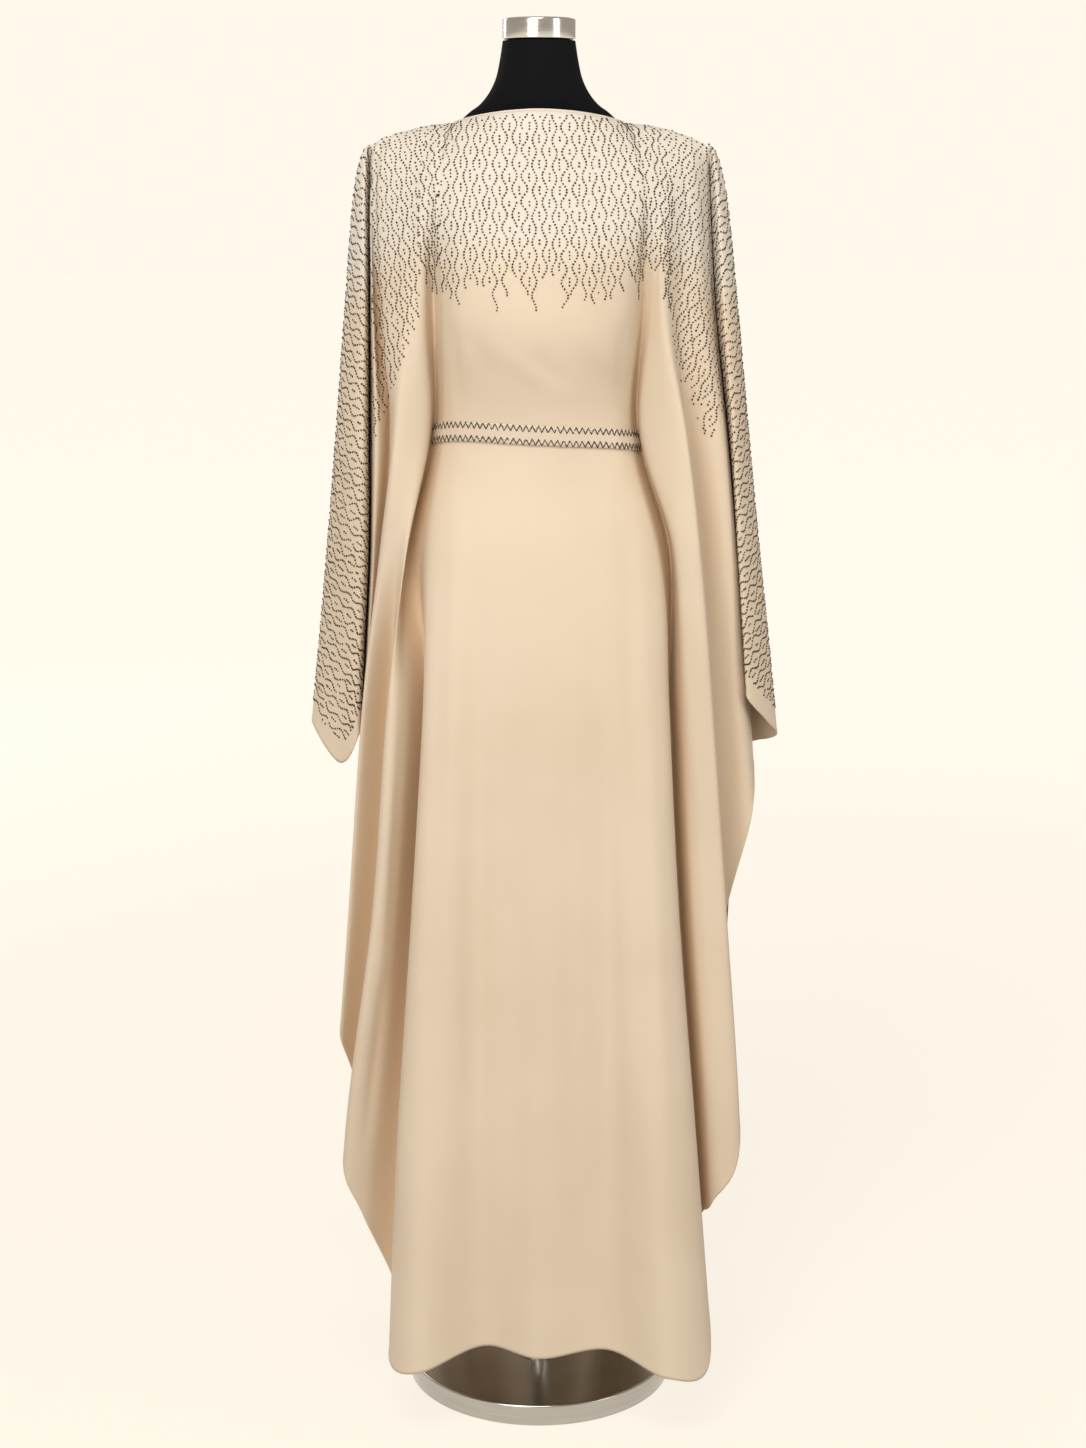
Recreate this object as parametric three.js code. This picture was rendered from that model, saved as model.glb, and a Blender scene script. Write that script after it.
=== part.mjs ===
// A batwing abaya of beige crepe on a limbless dress form, in millimetres, +Z up, front towards -Y.
// The origin is at the middle of the base's underside. "Right" is the +X side.
//
// The cloth is described by fold lines that run from the neckline or shoulder down to the hem.
// A fold line has one point at its top, one at each section height, and a hem height of its own.
// A panel is the smooth surface through its fold lines, given a wall.
import * as THREE from 'three';

// ---------- cloth ----------
const WALL = 1.6;                 // thickness of every cloth wall
const SEAM_GAP = 0.5;             // clearance between two pieces along a seam
const ROWS = 24;                  // bands from the top of a panel to its hem
const STRIPS = 2;                 // strips between two neighbouring fold lines
const SECTION_Z = [1440, 1300, 1167, 1030, 860, 620, 340, 60];

// The shoulder line is flat near the neck and rounds down to the shoulder point.
const SHOULDER = { neckX: 80, neckZ: 1509, tipX: 191, drop: 26.1, power: 2.25, seamY: -3 };
const shoulderZ = (x) => SHOULDER.neckZ - SHOULDER.drop
  * Math.max(0, (Math.abs(x) - SHOULDER.neckX) / (SHOULDER.tipX - SHOULDER.neckX)) ** SHOULDER.power;

// ---------- fold lines ----------
// top: [out, y, z] at the neckline, or only [out] on the shoulder line;
// out: distance from the middle, and y: depth, at each section height; hem: height of the hem there.
const CENTRE_FRONT = {
  fold: 'centre front', top: [0, -60, 1521.5], hem: 100,
  out: [0, 0, 0, 0, 0, 0, 0, 0], y: [-91, -121, -98, -124, -144, -158, -174, -190],
};

const FRONT_RIGHT = [
  { fold: 'inner hollow', top: [36, -56, 1519.5], hem: 103,
    out: [45, 46, 44, 52, 62, 69, 75, 81], y: [-89, -118, -94, -121, -139, -151, -163, -171] },
  { fold: 'hem lobe', top: [66, -40, 1515.5], hem: 84,
    out: [85, 86, 84, 98, 110, 121, 136, 151], y: [-83, -104, -80, -112, -137, -160, -184, -208] },
  { fold: 'skirt edge', top: [87, -22, 1510.8], hem: 86,
    out: [108, 104, 102, 134, 145, 158, 181, 203], y: [-77, -86, -60, -86, -118, -138, -154, -170] },
  { fold: 'waist valley', top: [96], hem: 226,
    out: [118, 115, 113, 150, 149, 162, 184, 206], y: [-72, -62, -38, -48, -66, -80, -90, -102] },
  { fold: 'fall lip', top: [108], hem: 262,
    out: [128, 126, 118, 156, 166, 179, 200, 216], y: [-68, -72, -66, -92, -98, -106, -110, -112] },
  { fold: 'fall edge', top: [122], hem: 334,
    out: [140, 140, 163, 182, 197, 216, 237, 243], y: [-62, -80, -92, -98, -104, -106, -104, -100] },
  { fold: 'fall valley', top: [146], hem: 558,
    out: [158, 158, 166, 181, 195, 211, 228, 234], y: [-50, -58, -50, -48, -52, -52, -50, -46] },
  { fold: 'wing edge', top: [168], hem: 725,
    out: [176, 186, 206, 221, 234, 259, 262, 257], y: [-38, -48, -48, -46, -44, -46, -38, -32] },
];

const FRONT_LEFT = [
  { fold: 'inner hollow', top: [36, -56, 1519.5], hem: 107,
    out: [45, 46, 44, 50, 60, 62, 64, 66], y: [-89, -118, -94, -121, -140, -151, -162, -169] },
  { fold: 'hem lobe', top: [66, -40, 1515.5], hem: 90,
    out: [85, 86, 84, 98, 108, 118, 130, 140], y: [-83, -104, -80, -112, -137, -159, -181, -206] },
  { fold: 'skirt edge', top: [87, -22, 1510.8], hem: 88,
    out: [106, 104, 106, 124, 131, 146, 165, 178], y: [-77, -86, -60, -98, -124, -141, -156, -170] },
  { fold: 'recess', top: [96], hem: 145,
    out: [112, 111, 114, 136, 127, 142, 161, 175], y: [-76, -72, -46, -72, -74, -78, -92, -106] },
  { fold: 'waist valley', top: [102], hem: 246,
    out: [118, 118, 121, 153, 151, 168, 200, 222], y: [-74, -62, -38, -66, -104, -110, -114, -112] },
  { fold: 'fall edge', top: [112], hem: 308,
    out: [128, 127, 125, 150, 172, 192, 229, 242], y: [-70, -78, -68, -98, -112, -114, -112, -106] },
  { fold: 'fall valley', top: [128], hem: 380,
    out: [138, 137, 143, 160, 170, 188, 224, 237], y: [-64, -82, -84, -90, -62, -56, -54, -50] },
  { fold: 'wing edge', top: [144], hem: 455,
    out: [154, 151, 161, 179, 201, 221, 244, 250], y: [-56, -80, -88, -86, -80, -76, -66, -56] },
  { fold: 'slit lip', top: [160], hem: 466,
    out: [176, 174, 166, 181, 198, 216, 238, 246], y: [-44, -62, -64, -60, -54, -48, -38, -30] },
  { fold: 'wing valley', top: [167], hem: 474,
    out: [181, 178.5, 168.5, 179, 195, 210, 230, 238], y: [-36, -30, -28, -30, -28, -22, -16, -14] },
  { fold: 'strip ridge', top: [177], hem: 488,
    out: [187.5, 187, 185, 190, 202, 217, 235, 242], y: [-30, -42, -48, -48, -42, -34, -26, -20] },
];

// The seam line of a side: above the cuff the sleeve leaves the panels along it, below the cuff
// it is the side seam. cuffRow is the band where the two meet.
const SIDES = {
  right: { sign: 1, front: FRONT_RIGHT, cuffRow: 22, hem: 770,
    seamOut: [192, 201, 216, 230, 247, 262, 262, 255] },
  left: { sign: -1, front: FRONT_LEFT, cuffRow: 19, hem: 500,
    seamOut: [190, 192, 194, 196, 206, 220, 238, 244] },
};
const SLIT = { most: 9, least: 2.2, perRow: 1.6, atTop: 4 };   // half the opening between the seams

// Behind, a fold's distance from the middle is a share of the seam line's, and its hem height
// is given for the right side and the left side.
const CENTRE_BACK = {
  fold: 'centre back', top: [0, 50, 1516], hem: { right: 78 }, share: 0,
  y: [96, 104, 100, 118, 134, 150, 168, 184],
};
const BACK = [
  { fold: 'hollow', top: [42, 47, 1515], hem: { right: 88, left: 86 }, share: 0.23,
    y: [94, 100, 94, 108, 122, 134, 146, 156] },
  { fold: 'ridge', top: [80, 30, 1511.5], hem: { right: 76, left: 80 }, share: 0.44,
    y: [84, 92, 92, 112, 132, 154, 178, 200] },
  { fold: 'valley', top: [96], hem: { right: 130, left: 124 }, share: 0.6,
    y: [72, 74, 70, 78, 86, 94, 106, 118] },
  { fold: 'outer ridge', top: [122], hem: { right: 200, left: 200 }, share: 0.82,
    y: [60, 72, 84, 96, 106, 116, 124, 130] },
  { fold: 'outer valley', top: [146], hem: { right: 592, left: 350 }, share: 0.88,
    y: [48, 50, 46, 46, 48, 52, 56, 60] },
  { fold: 'wing edge', top: [168], hem: { right: 730, left: 470 }, share: 0.93,
    y: [36, 42, 40, 38, 36, 36, 36, 36] },
];

// The sleeve hangs as a flattened tube that is open to the body along the seam line.
// Its sections stop at 620, below the cuffs.
const SLEEVES = {
  right: [
    { fold: 'inner edge', top: 0.25, hem: 862,
      out: [198, 207, 219, 228, 240, 256], y: [-24, -36, -46, -50, -52, -52] },
    { fold: 'front face', top: 0.5, hem: 832,
      out: [205, 220, 232, 245, 262, 280], y: [-16, -26, -32, -34, -34, -34] },
    { fold: 'ridge', top: 1, hem: 809,
      out: [209, 226, 240, 255, 275, 300], y: [-4, -4, -4, -4, -4, -4] },
    { fold: 'back face', top: 0.5, hem: 794,
      out: [205, 219, 231, 244, 260, 278], y: [12, 22, 28, 32, 34, 34] },
    { fold: 'back edge', top: 0.25, hem: 797,
      out: [198, 209, 222, 233, 245, 248], y: [22, 30, 38, 42, 44, 44] },
  ],
  left: [
    { fold: 'inner edge', top: 0.25, hem: 820,
      out: [194, 194.5, 196.5, 198.5, 207, 212], y: [-28, -44, -52, -54, -56, -56] },
    { fold: 'front face', top: 0.5, hem: 784,
      out: [203, 209, 216, 222, 230, 236], y: [-20, -34, -42, -44, -44, -44] },
    { fold: 'ridge', top: 1, hem: 825,
      out: [207, 221, 233, 246, 264, 292], y: [-4, -4, -4, -4, -4, -4] },
    { fold: 'back face', top: 0.5, hem: 800,
      out: [203, 211, 220, 229, 242, 262], y: [14, 24, 30, 34, 36, 36] },
    { fold: 'back edge', top: 0.25, hem: 812,
      out: [195, 197, 201, 206, 216, 230], y: [22, 32, 40, 44, 46, 46] },
  ],
};
const SLEEVE_TOP = { clear: 1.4, apexOut: 188.5, rise: 1.2 };   // its narrow top, at the shoulder's end

// ---------- belt and neck binding ----------
const BELT = { top: 1184, bottom: 1150, wall: 1.2, off: 2.4, rows: 3, steps: 2, ends: 0.55 };
const BINDING = { height: 4.2, outside: 0.3, inside: 1.9, steps: 2 };

// ---------- stand ----------
const BASE = { radius: 161, height: 26, edge: 2 };
const FLANGE = { radius: 36, height: 5, edge: 1.2 };
const POLE = { radius: 12.2 };
const CAP = { radius: 40.5, bottom: 1599, top: 1621, edge: 2, crown: 1.5 };
const ROUND = 32;                 // facets round a turned piece
const FIT = 0.3;                  // clearance where hard pieces meet

// The form's sections: half width, depth in front and behind, and the power of the oval.
const FORM = [
  { z: 780, half: 60, front: 50, back: 50, power: 2 },
  { z: 783, half: 96, front: 76, back: 76, power: 2 },
  { z: 800, half: 112, front: 88, back: 88, power: 2 },
  { z: 900, half: 126, front: 94, back: 98, power: 2 },
  { z: 980, half: 126, front: 92, back: 98, power: 2 },
  { z: 1060, half: 112, front: 84, back: 86, power: 2 },
  { z: 1167, half: 94, front: 72, back: 70, power: 2 },
  { z: 1250, half: 112, front: 84, back: 80, power: 2 },
  { z: 1330, half: 132, front: 98, back: 86, power: 2.1 },
  { z: 1390, half: 146, front: 90, back: 84, power: 2 },
  { z: 1440, half: 154, front: 78, back: 76, power: 1.9 },
  { z: 1470, half: 150, front: 66, back: 62, power: 1.6 },
  { z: 1485, half: 141, front: 58, back: 54, power: 1.45 },
  { z: 1496, half: 128, front: 51, back: 46, power: 1.35 },
  { z: 1502, half: 111, front: 46, back: 38, power: 1.25 },
  { z: 1505.6, half: 96.5, front: 43, back: 35, power: 1.2 },
  { z: 1508, half: 91, front: 42, back: 36, power: 1.25 },
  { z: 1513, half: 86, front: 42, back: 36, power: 1.4 },
  { z: 1521, half: 77, front: 42, back: 37, power: 1.65 },
  { z: 1529, half: 66, front: 42.2, back: 38.5, power: 1.85 },
  { z: 1542, half: 55.5, front: 42, back: 39.5, power: 2 },
  { z: 1558, half: 48, front: 41.5, back: 40, power: 2 },
  { z: 1578, half: 43.5, front: 41, back: 40.5, power: 2 },
  { z: 1598.7, half: 40.3, front: 40.3, back: 40.3, power: 2 },
];
const FORM_FACETS = 32;

// ---------- finishes ----------
const finish = (color, roughness, metalness = 0) => new THREE.MeshStandardMaterial(
  { color, roughness, metalness });
const CREPE = finish(0xdcc4a4, 0.62);
const SATIN_BAND = finish(0xe4cdb4, 0.5);
const FORM_CLOTH = finish(0x0b0b0d, 0.9);
const CHROME = finish(0xd4d2ce, 0.12, 1);
const STEEL = finish(0xc2beb8, 0.25, 1);

// ---------- curves and surfaces ----------
// Catmull-Rom between b and c.
function smooth(a, b, c, d, t) {
  const square = t * t;
  const cube = square * t;
  return 0.5 * (2 * b + (c - a) * t + (2 * a - 5 * b + 4 * c - d) * square
    + (3 * b - a - 3 * c + d) * cube);
}

// A value between the entries of a list; beyond the ends the list goes on straight.
function along(list, position) {
  const last = list.length - 1;
  const i = Math.min(Math.max(Math.floor(position), 0), last - 1);
  const before = i > 0 ? list[i - 1] : 2 * list[0] - list[1];
  const after = i + 2 <= last ? list[i + 2] : 2 * list[last] - list[last - 1];
  return smooth(before, list[i], list[i + 1], after, position - i);
}

// Section height at a level: level 1 is the first section, and level 0 is the top edge.
const levelZ = (level) => along(SECTION_Z, level - 1);

function levelOf(z) {
  let low = 1;
  let high = SECTION_Z.length;
  while (high - low > 1e-7) {
    const middle = (low + high) / 2;
    if (levelZ(middle) > z) low = middle; else high = middle;
  }
  return low;
}

// A panel surface through fold lines that are listed across it. Each line has top {x, y, z},
// and x and y lists, one entry for a section. Beyond the top edge the surface is mirrored, so the
// cloth leaves the edge level.
function panelPoint(lines, across, level) {
  const at = (pick) => along(lines.map(pick), across);
  const top = topPoint(lines, across);
  if (level >= 2) {
    return new THREE.Vector3(
      at((line) => along(line.x, level - 1)), at((line) => along(line.y, level - 1)), levelZ(level));
  }
  const first = [0, 1, 2].map((i) => new THREE.Vector3(
    at((line) => line.x[i]), at((line) => line.y[i]), SECTION_Z[i]));
  const over = new THREE.Vector3(2 * top.x - first[0].x, 2 * top.y - first[0].y, first[0].z);
  const run = [over, top, ...first];
  const i = Math.min(Math.floor(level), 1);
  const t = level - i;
  return new THREE.Vector3(...['x', 'y', 'z'].map(
    (k) => smooth(run[i][k], run[i + 1][k], run[i + 2][k], run[i + 3][k], t)));
}

// The top edge: smooth round the neckline, and exactly on the shoulder line beside it.
function topPoint(lines, across) {
  const i = Math.min(Math.floor(across), lines.length - 2);
  if (lines[i].onShoulder && lines[i + 1].onShoulder) {
    const x = THREE.MathUtils.lerp(lines[i].top.x, lines[i + 1].top.x, across - i);
    const y = THREE.MathUtils.lerp(lines[i].top.y, lines[i + 1].top.y, across - i);
    return new THREE.Vector3(x, y, shoulderZ(x));
  }
  return new THREE.Vector3(...['x', 'y', 'z'].map(
    (k) => along(lines.map((line) => line.top[k]), across)));
}

// ---------- fold lines in place ----------
// facing is -1 in front and +1 behind.
function placeFold(row, side, facing) {
  const { sign, seamOut } = SIDES[side];
  const [out, y, z] = row.top;
  const onShoulder = y === undefined;
  const seamY = SHOULDER.seamY + facing * SEAM_GAP / 2;
  const outs = row.out ?? seamOut.map((seam) => row.share * seam);
  return {
    top: { x: sign * out, y: onShoulder ? seamY : y, z: onShoulder ? shoulderZ(out) : z },
    fold: row.fold, onShoulder, x: outs.map((value) => sign * value), y: row.y,
    hem: row.hem[side] ?? row.hem,
  };
}

function seamFold(side, facing) {
  const { sign, seamOut, hem } = SIDES[side];
  const y = SHOULDER.seamY + facing * SLIT.atTop;
  return {
    top: { x: sign * (SHOULDER.tipX - SLEEVE_TOP.clear / 2), y }, onShoulder: true,
    x: seamOut.map((value) => sign * value - sign * SEAM_GAP / 2),
    y: seamOut.map(() => facing * SLIT.most), hem,
  };
}

const frontLines = [
  seamFold('left', -1), ...FRONT_LEFT.map((row) => placeFold(row, 'left', -1)).reverse(),
  placeFold(CENTRE_FRONT, 'right', -1),
  ...FRONT_RIGHT.map((row) => placeFold(row, 'right', -1)), seamFold('right', -1),
];
const backLines = [
  seamFold('right', 1), ...BACK.map((row) => placeFold(row, 'right', 1)).reverse(),
  placeFold(CENTRE_BACK, 'right', 1),
  ...BACK.map((row) => placeFold(row, 'left', 1)), seamFold('left', 1),
];

// Half the opening between the front and back seam edges, band by band.
function slitHalf(row, cuffRow) {
  if (row > cuffRow) return SEAM_GAP / 2;
  return Math.min(SLIT.most, SLIT.least + (cuffRow - row) * SLIT.perRow);
}

// ---------- walls ----------
// grid[row][column] holds the outer points, listed so that rows go down and columns go round the
// body against the clock. inward[row][column] says which way the wall thickens.
function wallGeometry(grid, inward, wall) {
  const rows = grid.length;
  const columns = grid[0].length;
  const positions = [];
  const push = (point) => positions.push(point.x, point.y, point.z);
  grid.forEach((line) => line.forEach(push));
  grid.forEach((line, r) => line.forEach(
    (point, c) => push(point.clone().addScaledVector(inward[r][c], wall))));
  const outer = (r, c) => r * columns + c;
  const inner = (r, c) => rows * columns + r * columns + c;
  const faces = [];
  const quad = (a, b, c, d) => faces.push(a, b, c, a, c, d);
  for (let r = 0; r < rows - 1; r += 1) {
    for (let c = 0; c < columns - 1; c += 1) {
      quad(outer(r, c), outer(r + 1, c), outer(r + 1, c + 1), outer(r, c + 1));
      quad(inner(r, c), inner(r, c + 1), inner(r + 1, c + 1), inner(r + 1, c));
    }
    quad(outer(r, 0), inner(r, 0), inner(r + 1, 0), outer(r + 1, 0));
    const e = columns - 1;
    quad(outer(r, e), outer(r + 1, e), inner(r + 1, e), inner(r, e));
  }
  for (let c = 0; c < columns - 1; c += 1) {
    quad(outer(0, c), outer(0, c + 1), inner(0, c + 1), inner(0, c));
    const e = rows - 1;
    quad(outer(e, c), inner(e, c), inner(e, c + 1), outer(e, c + 1));
  }
  const geometry = new THREE.BufferGeometry();
  geometry.setAttribute('position', new THREE.Float32BufferAttribute(positions, 3));
  geometry.setIndex(faces);
  geometry.computeVertexNormals();
  return geometry;
}

// The inward direction at each grid point, from the neighbouring points.
function inwardDirections(grid) {
  const rows = grid.length;
  const columns = grid[0].length;
  return grid.map((line, r) => line.map((_, c) => {
    const down = grid[Math.min(r + 1, rows - 1)][c].clone().sub(grid[Math.max(r - 1, 0)][c]);
    const round = line[Math.min(c + 1, columns - 1)].clone().sub(line[Math.max(c - 1, 0)]);
    return round.cross(down).normalize();
  }));
}

const DOWN = new THREE.Vector3(0, 0, -1);
const mixed = (a, b, t) => a.clone().lerp(b, Math.min(1, t)).normalize();
const TOP_TURN = 3;               // bands over which a seam edge turns from the shoulder's mitre

// ---------- panels ----------
function bodyPanel(lines, firstSide, lastSide, facing) {
  const columns = (lines.length - 1) * STRIPS;
  const hemLevels = lines.map((line) => levelOf(line.hem));
  const grid = [];
  for (let row = 0; row <= ROWS; row += 1) {
    const line = [];
    for (let column = 0; column <= columns; column += 1) {
      const across = column / STRIPS;
      const level = along(hemLevels, across) * row / ROWS;
      const point = panelPoint(lines, across, level);
      const side = column === 0 ? firstSide : lastSide;
      if ((column === 0 || column === columns) && row > 0) {
        point.y = facing * slitHalf(row, SIDES[side].cuffRow);
      }
      line.push(point);
    }
    grid.push(line);
  }
  const inward = inwardDirections(grid);
  const behind = new THREE.Vector3(0, -facing, 0);
  for (let row = 0; row <= ROWS; row += 1) {
    for (const [column, side] of [[0, firstSide], [columns, lastSide]]) {
      const { sign, cuffRow } = SIDES[side];
      const mitre = row > cuffRow ? new THREE.Vector3(-sign, 0, 0) : behind;
      inward[row][column] = mixed(DOWN, mitre, row / TOP_TURN);
    }
  }
  for (let column = 0; column <= columns; column += 1) {
    const near = lines[Math.floor(column / STRIPS)];
    const far = lines[Math.ceil(column / STRIPS)];
    if (near.onShoulder && far.onShoulder) inward[0][column] = DOWN.clone();
  }
  return wallGeometry(grid, inward, WALL);
}

// ---------- sleeves ----------
function sleevePanel(side) {
  const { sign, cuffRow, hem, seamOut } = SIDES[side];
  const seamHemLevel = levelOf(hem);
  const cuffLevel = seamHemLevel * cuffRow / ROWS;
  const tipZ = shoulderZ(SHOULDER.tipX);
  const seam = (facing) => ({
    top: { x: sign * (SHOULDER.tipX + SLEEVE_TOP.clear), y: SHOULDER.seamY + facing * SLIT.atTop, z: tipZ },
    x: seamOut.slice(0, 6).map((value) => sign * (value + SEAM_GAP / 2)),
    y: seamOut.slice(0, 6).map(() => facing * SLIT.most), hemLevel: cuffLevel, facing,
  });
  const folds = SLEEVES[side].map((row, i) => {
    const facing = i < 2 ? -1 : 1;
    const reach = row.top === 1 ? 0 : (1 - row.top);
    return {
      top: {
        x: sign * THREE.MathUtils.lerp(SHOULDER.tipX + SLEEVE_TOP.clear, SLEEVE_TOP.apexOut, row.top),
        y: SHOULDER.seamY + facing * SLIT.atTop * reach,
        z: tipZ + SLEEVE_TOP.rise * row.top,
      },
      x: row.out.map((value) => sign * value), y: row.y, hemLevel: levelOf(row.hem),
    };
  });
  let lines = [seam(-1), ...folds, seam(1)];
  if (side === 'left') lines = lines.reverse();
  const columns = (lines.length - 1) * STRIPS;
  const hemLevels = lines.map((line) => line.hemLevel);
  const grid = [];
  for (let row = 0; row <= cuffRow; row += 1) {
    const line = [];
    for (let column = 0; column <= columns; column += 1) {
      const across = column / STRIPS;
      const point = panelPoint(lines, across, along(hemLevels, across) * row / cuffRow);
      const edge = column === 0 ? lines[0] : lines[lines.length - 1];
      if ((column === 0 || column === columns) && row > 0) {
        point.y = edge.facing * slitHalf(row, cuffRow);
      }
      line.push(point);
    }
    grid.push(line);
  }
  const inward = inwardDirections(grid);
  for (let row = 0; row <= cuffRow; row += 1) {
    for (const [column, edge] of [[0, lines[0]], [columns, lines[lines.length - 1]]]) {
      inward[row][column] = mixed(DOWN, new THREE.Vector3(0, -edge.facing, 0), row / TOP_TURN);
    }
  }
  inward[0] = inward[0].map(() => DOWN.clone());
  return wallGeometry(grid, inward, WALL);
}

// ---------- belt: the stretch in front, lying just off the panel ----------
function beltBand() {
  const valleys = frontLines.flatMap((line, i) => (line.fold === 'waist valley' ? [i] : []));
  const from = valleys[0] + BELT.ends;
  const to = valleys[1] - BELT.ends;
  const steps = Math.round((to - from) * BELT.steps);
  const grid = [];
  for (let row = 0; row <= BELT.rows; row += 1) {
    const z = THREE.MathUtils.lerp(BELT.top, BELT.bottom, row / BELT.rows);
    const line = [];
    for (let step = 0; step <= steps; step += 1) {
      line.push(panelPoint(frontLines, THREE.MathUtils.lerp(from, to, step / steps), levelOf(z)));
    }
    grid.push(line);
  }
  const inward = inwardDirections(grid);
  const lifted = grid.map((line, r) => line.map(
    (point, c) => point.clone().addScaledVector(inward[r][c], -BELT.off - BELT.wall)));
  return wallGeometry(lifted, inward, BELT.wall);
}

// ---------- neck binding: a ring on the raw edge of the neckline ----------
function neckBinding() {
  const ring = [];
  for (const lines of [frontLines, backLines]) {
    for (let across = 0; across < lines.length - 1; across += 1 / BINDING.steps) {
      const i = Math.floor(across);
      const onNeck = !(lines[i].onShoulder && lines[i + 1].onShoulder);
      if (onNeck) ring.push(topPoint(lines, across));
    }
  }
  const count = ring.length;
  const profile = [
    [BINDING.outside, SEAM_GAP], [BINDING.outside, SEAM_GAP + BINDING.height],
    [-BINDING.inside, SEAM_GAP + BINDING.height], [-BINDING.inside, SEAM_GAP],
  ];
  const positions = [];
  ring.forEach((point, i) => {
    const next = ring[(i + 1) % count];
    const before = ring[(i + count - 1) % count];
    const outwards = new THREE.Vector3(next.y - before.y, before.x - next.x, 0).normalize();
    for (const [out, up] of profile) {
      positions.push(point.x + outwards.x * out, point.y + outwards.y * out, point.z + up);
    }
  });
  const corners = profile.length;
  const faces = [];
  for (let i = 0; i < count; i += 1) {
    const here = i * corners;
    const there = ((i + 1) % count) * corners;
    for (let k = 0; k < corners; k += 1) {
      const next = (k + 1) % corners;
      faces.push(here + k, there + k, there + next, here + k, there + next, here + next);
    }
  }
  const geometry = new THREE.BufferGeometry();
  geometry.setAttribute('position', new THREE.Float32BufferAttribute(positions, 3));
  geometry.setIndex(faces);
  geometry.computeVertexNormals();
  return geometry;
}

// ---------- dress form ----------
function formBody() {
  const positions = [];
  const oval = (angle, row) => {
    const cos = Math.cos(angle);
    const sin = Math.sin(angle);
    const power = 2 / row.power;
    const depth = sin < 0 ? row.front : row.back;
    return [
      row.half * Math.sign(cos) * Math.abs(cos) ** power,
      depth * Math.sign(sin) * Math.abs(sin) ** power, row.z];
  };
  FORM.forEach((row) => {
    for (let i = 0; i < FORM_FACETS; i += 1) positions.push(...oval(2 * Math.PI * i / FORM_FACETS, row));
  });
  const bottomCentre = positions.length / 3;
  positions.push(0, 0, FORM[0].z);
  positions.push(0, 0, FORM[FORM.length - 1].z);
  const faces = [];
  for (let r = 0; r < FORM.length - 1; r += 1) {
    for (let i = 0; i < FORM_FACETS; i += 1) {
      const a = r * FORM_FACETS + i;
      const b = r * FORM_FACETS + (i + 1) % FORM_FACETS;
      faces.push(a, b, b + FORM_FACETS, a, b + FORM_FACETS, a + FORM_FACETS);
    }
  }
  const topStart = (FORM.length - 1) * FORM_FACETS;
  for (let i = 0; i < FORM_FACETS; i += 1) {
    const next = (i + 1) % FORM_FACETS;
    faces.push(bottomCentre, next, i);
    faces.push(bottomCentre + 1, topStart + i, topStart + next);
  }
  const geometry = new THREE.BufferGeometry();
  geometry.setAttribute('position', new THREE.Float32BufferAttribute(positions, 3));
  geometry.setIndex(faces);
  geometry.computeVertexNormals();
  return geometry;
}

// ---------- turned pieces: a profile of [radius, z] pairs, spun about the pole's axis ----------
function turned(profile) {
  const points = profile.map(([radius, z]) => new THREE.Vector2(radius, z));
  return new THREE.LatheGeometry(points, ROUND).rotateX(Math.PI / 2);
}

function baseDisc() {
  const { radius, height, edge } = BASE;
  return turned([[0, 0], [radius - edge, 0], [radius, edge], [radius, height - edge],
    [radius - edge, height], [0, height]]);
}

function flangeRing() {
  const { radius, height, edge } = FLANGE;
  const low = BASE.height + FIT;
  const bore = POLE.radius + FIT;
  return turned([[bore, low], [radius, low], [radius, low + height - edge],
    [radius - edge, low + height], [bore, low + height], [bore, low]]);
}

function pole() {
  const low = BASE.height + FIT;
  const high = FORM[0].z - FIT;
  return turned([[0, low], [POLE.radius, low], [POLE.radius, high], [0, high]]);
}

function neckCap() {
  const { radius, bottom, top, edge, crown } = CAP;
  return turned([[0, bottom], [radius - edge, bottom], [radius, bottom + edge], [radius, top - edge],
    [radius - edge, top - edge / 2], [radius * 0.5, top + crown * 0.4], [0, top + crown]]);
}

// ---------- the model ----------
const abaya = new THREE.Group();
function add(name, geometry, material) {
  const mesh = new THREE.Mesh(geometry, material);
  mesh.name = name;
  abaya.add(mesh);
}

add('front_panel', bodyPanel(frontLines, 'left', 'right', -1), CREPE);
add('back_panel', bodyPanel(backLines, 'right', 'left', 1), CREPE);
add('sleeve_left', sleevePanel('left'), CREPE);
add('sleeve_right', sleevePanel('right'), CREPE);
add('neck_binding', neckBinding(), CREPE);
add('belt', beltBand(), SATIN_BAND);
add('form_torso', formBody(), FORM_CLOTH);
add('neck_cap', neckCap(), CHROME);
add('pole', pole(), STEEL);
add('flange', flangeRing(), STEEL);
add('base_disc', baseDisc(), CHROME);

export default abaya;
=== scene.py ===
# %% [markdown]
# # A batwing abaya on its dress form
# The garment is one wide sheet in front and one behind, joined along the shoulders and the sides,
# with two hanging sleeves, a narrow stoned belt and a bound neckline. It hangs on a limbless form
# with a pole, a flange and a round base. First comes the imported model, which fixes every size.

# %% The frame and its box
import math

import bpy
import numpy as np
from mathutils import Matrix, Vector, geometry
from mathutils.bvhtree import BVHTree


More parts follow.
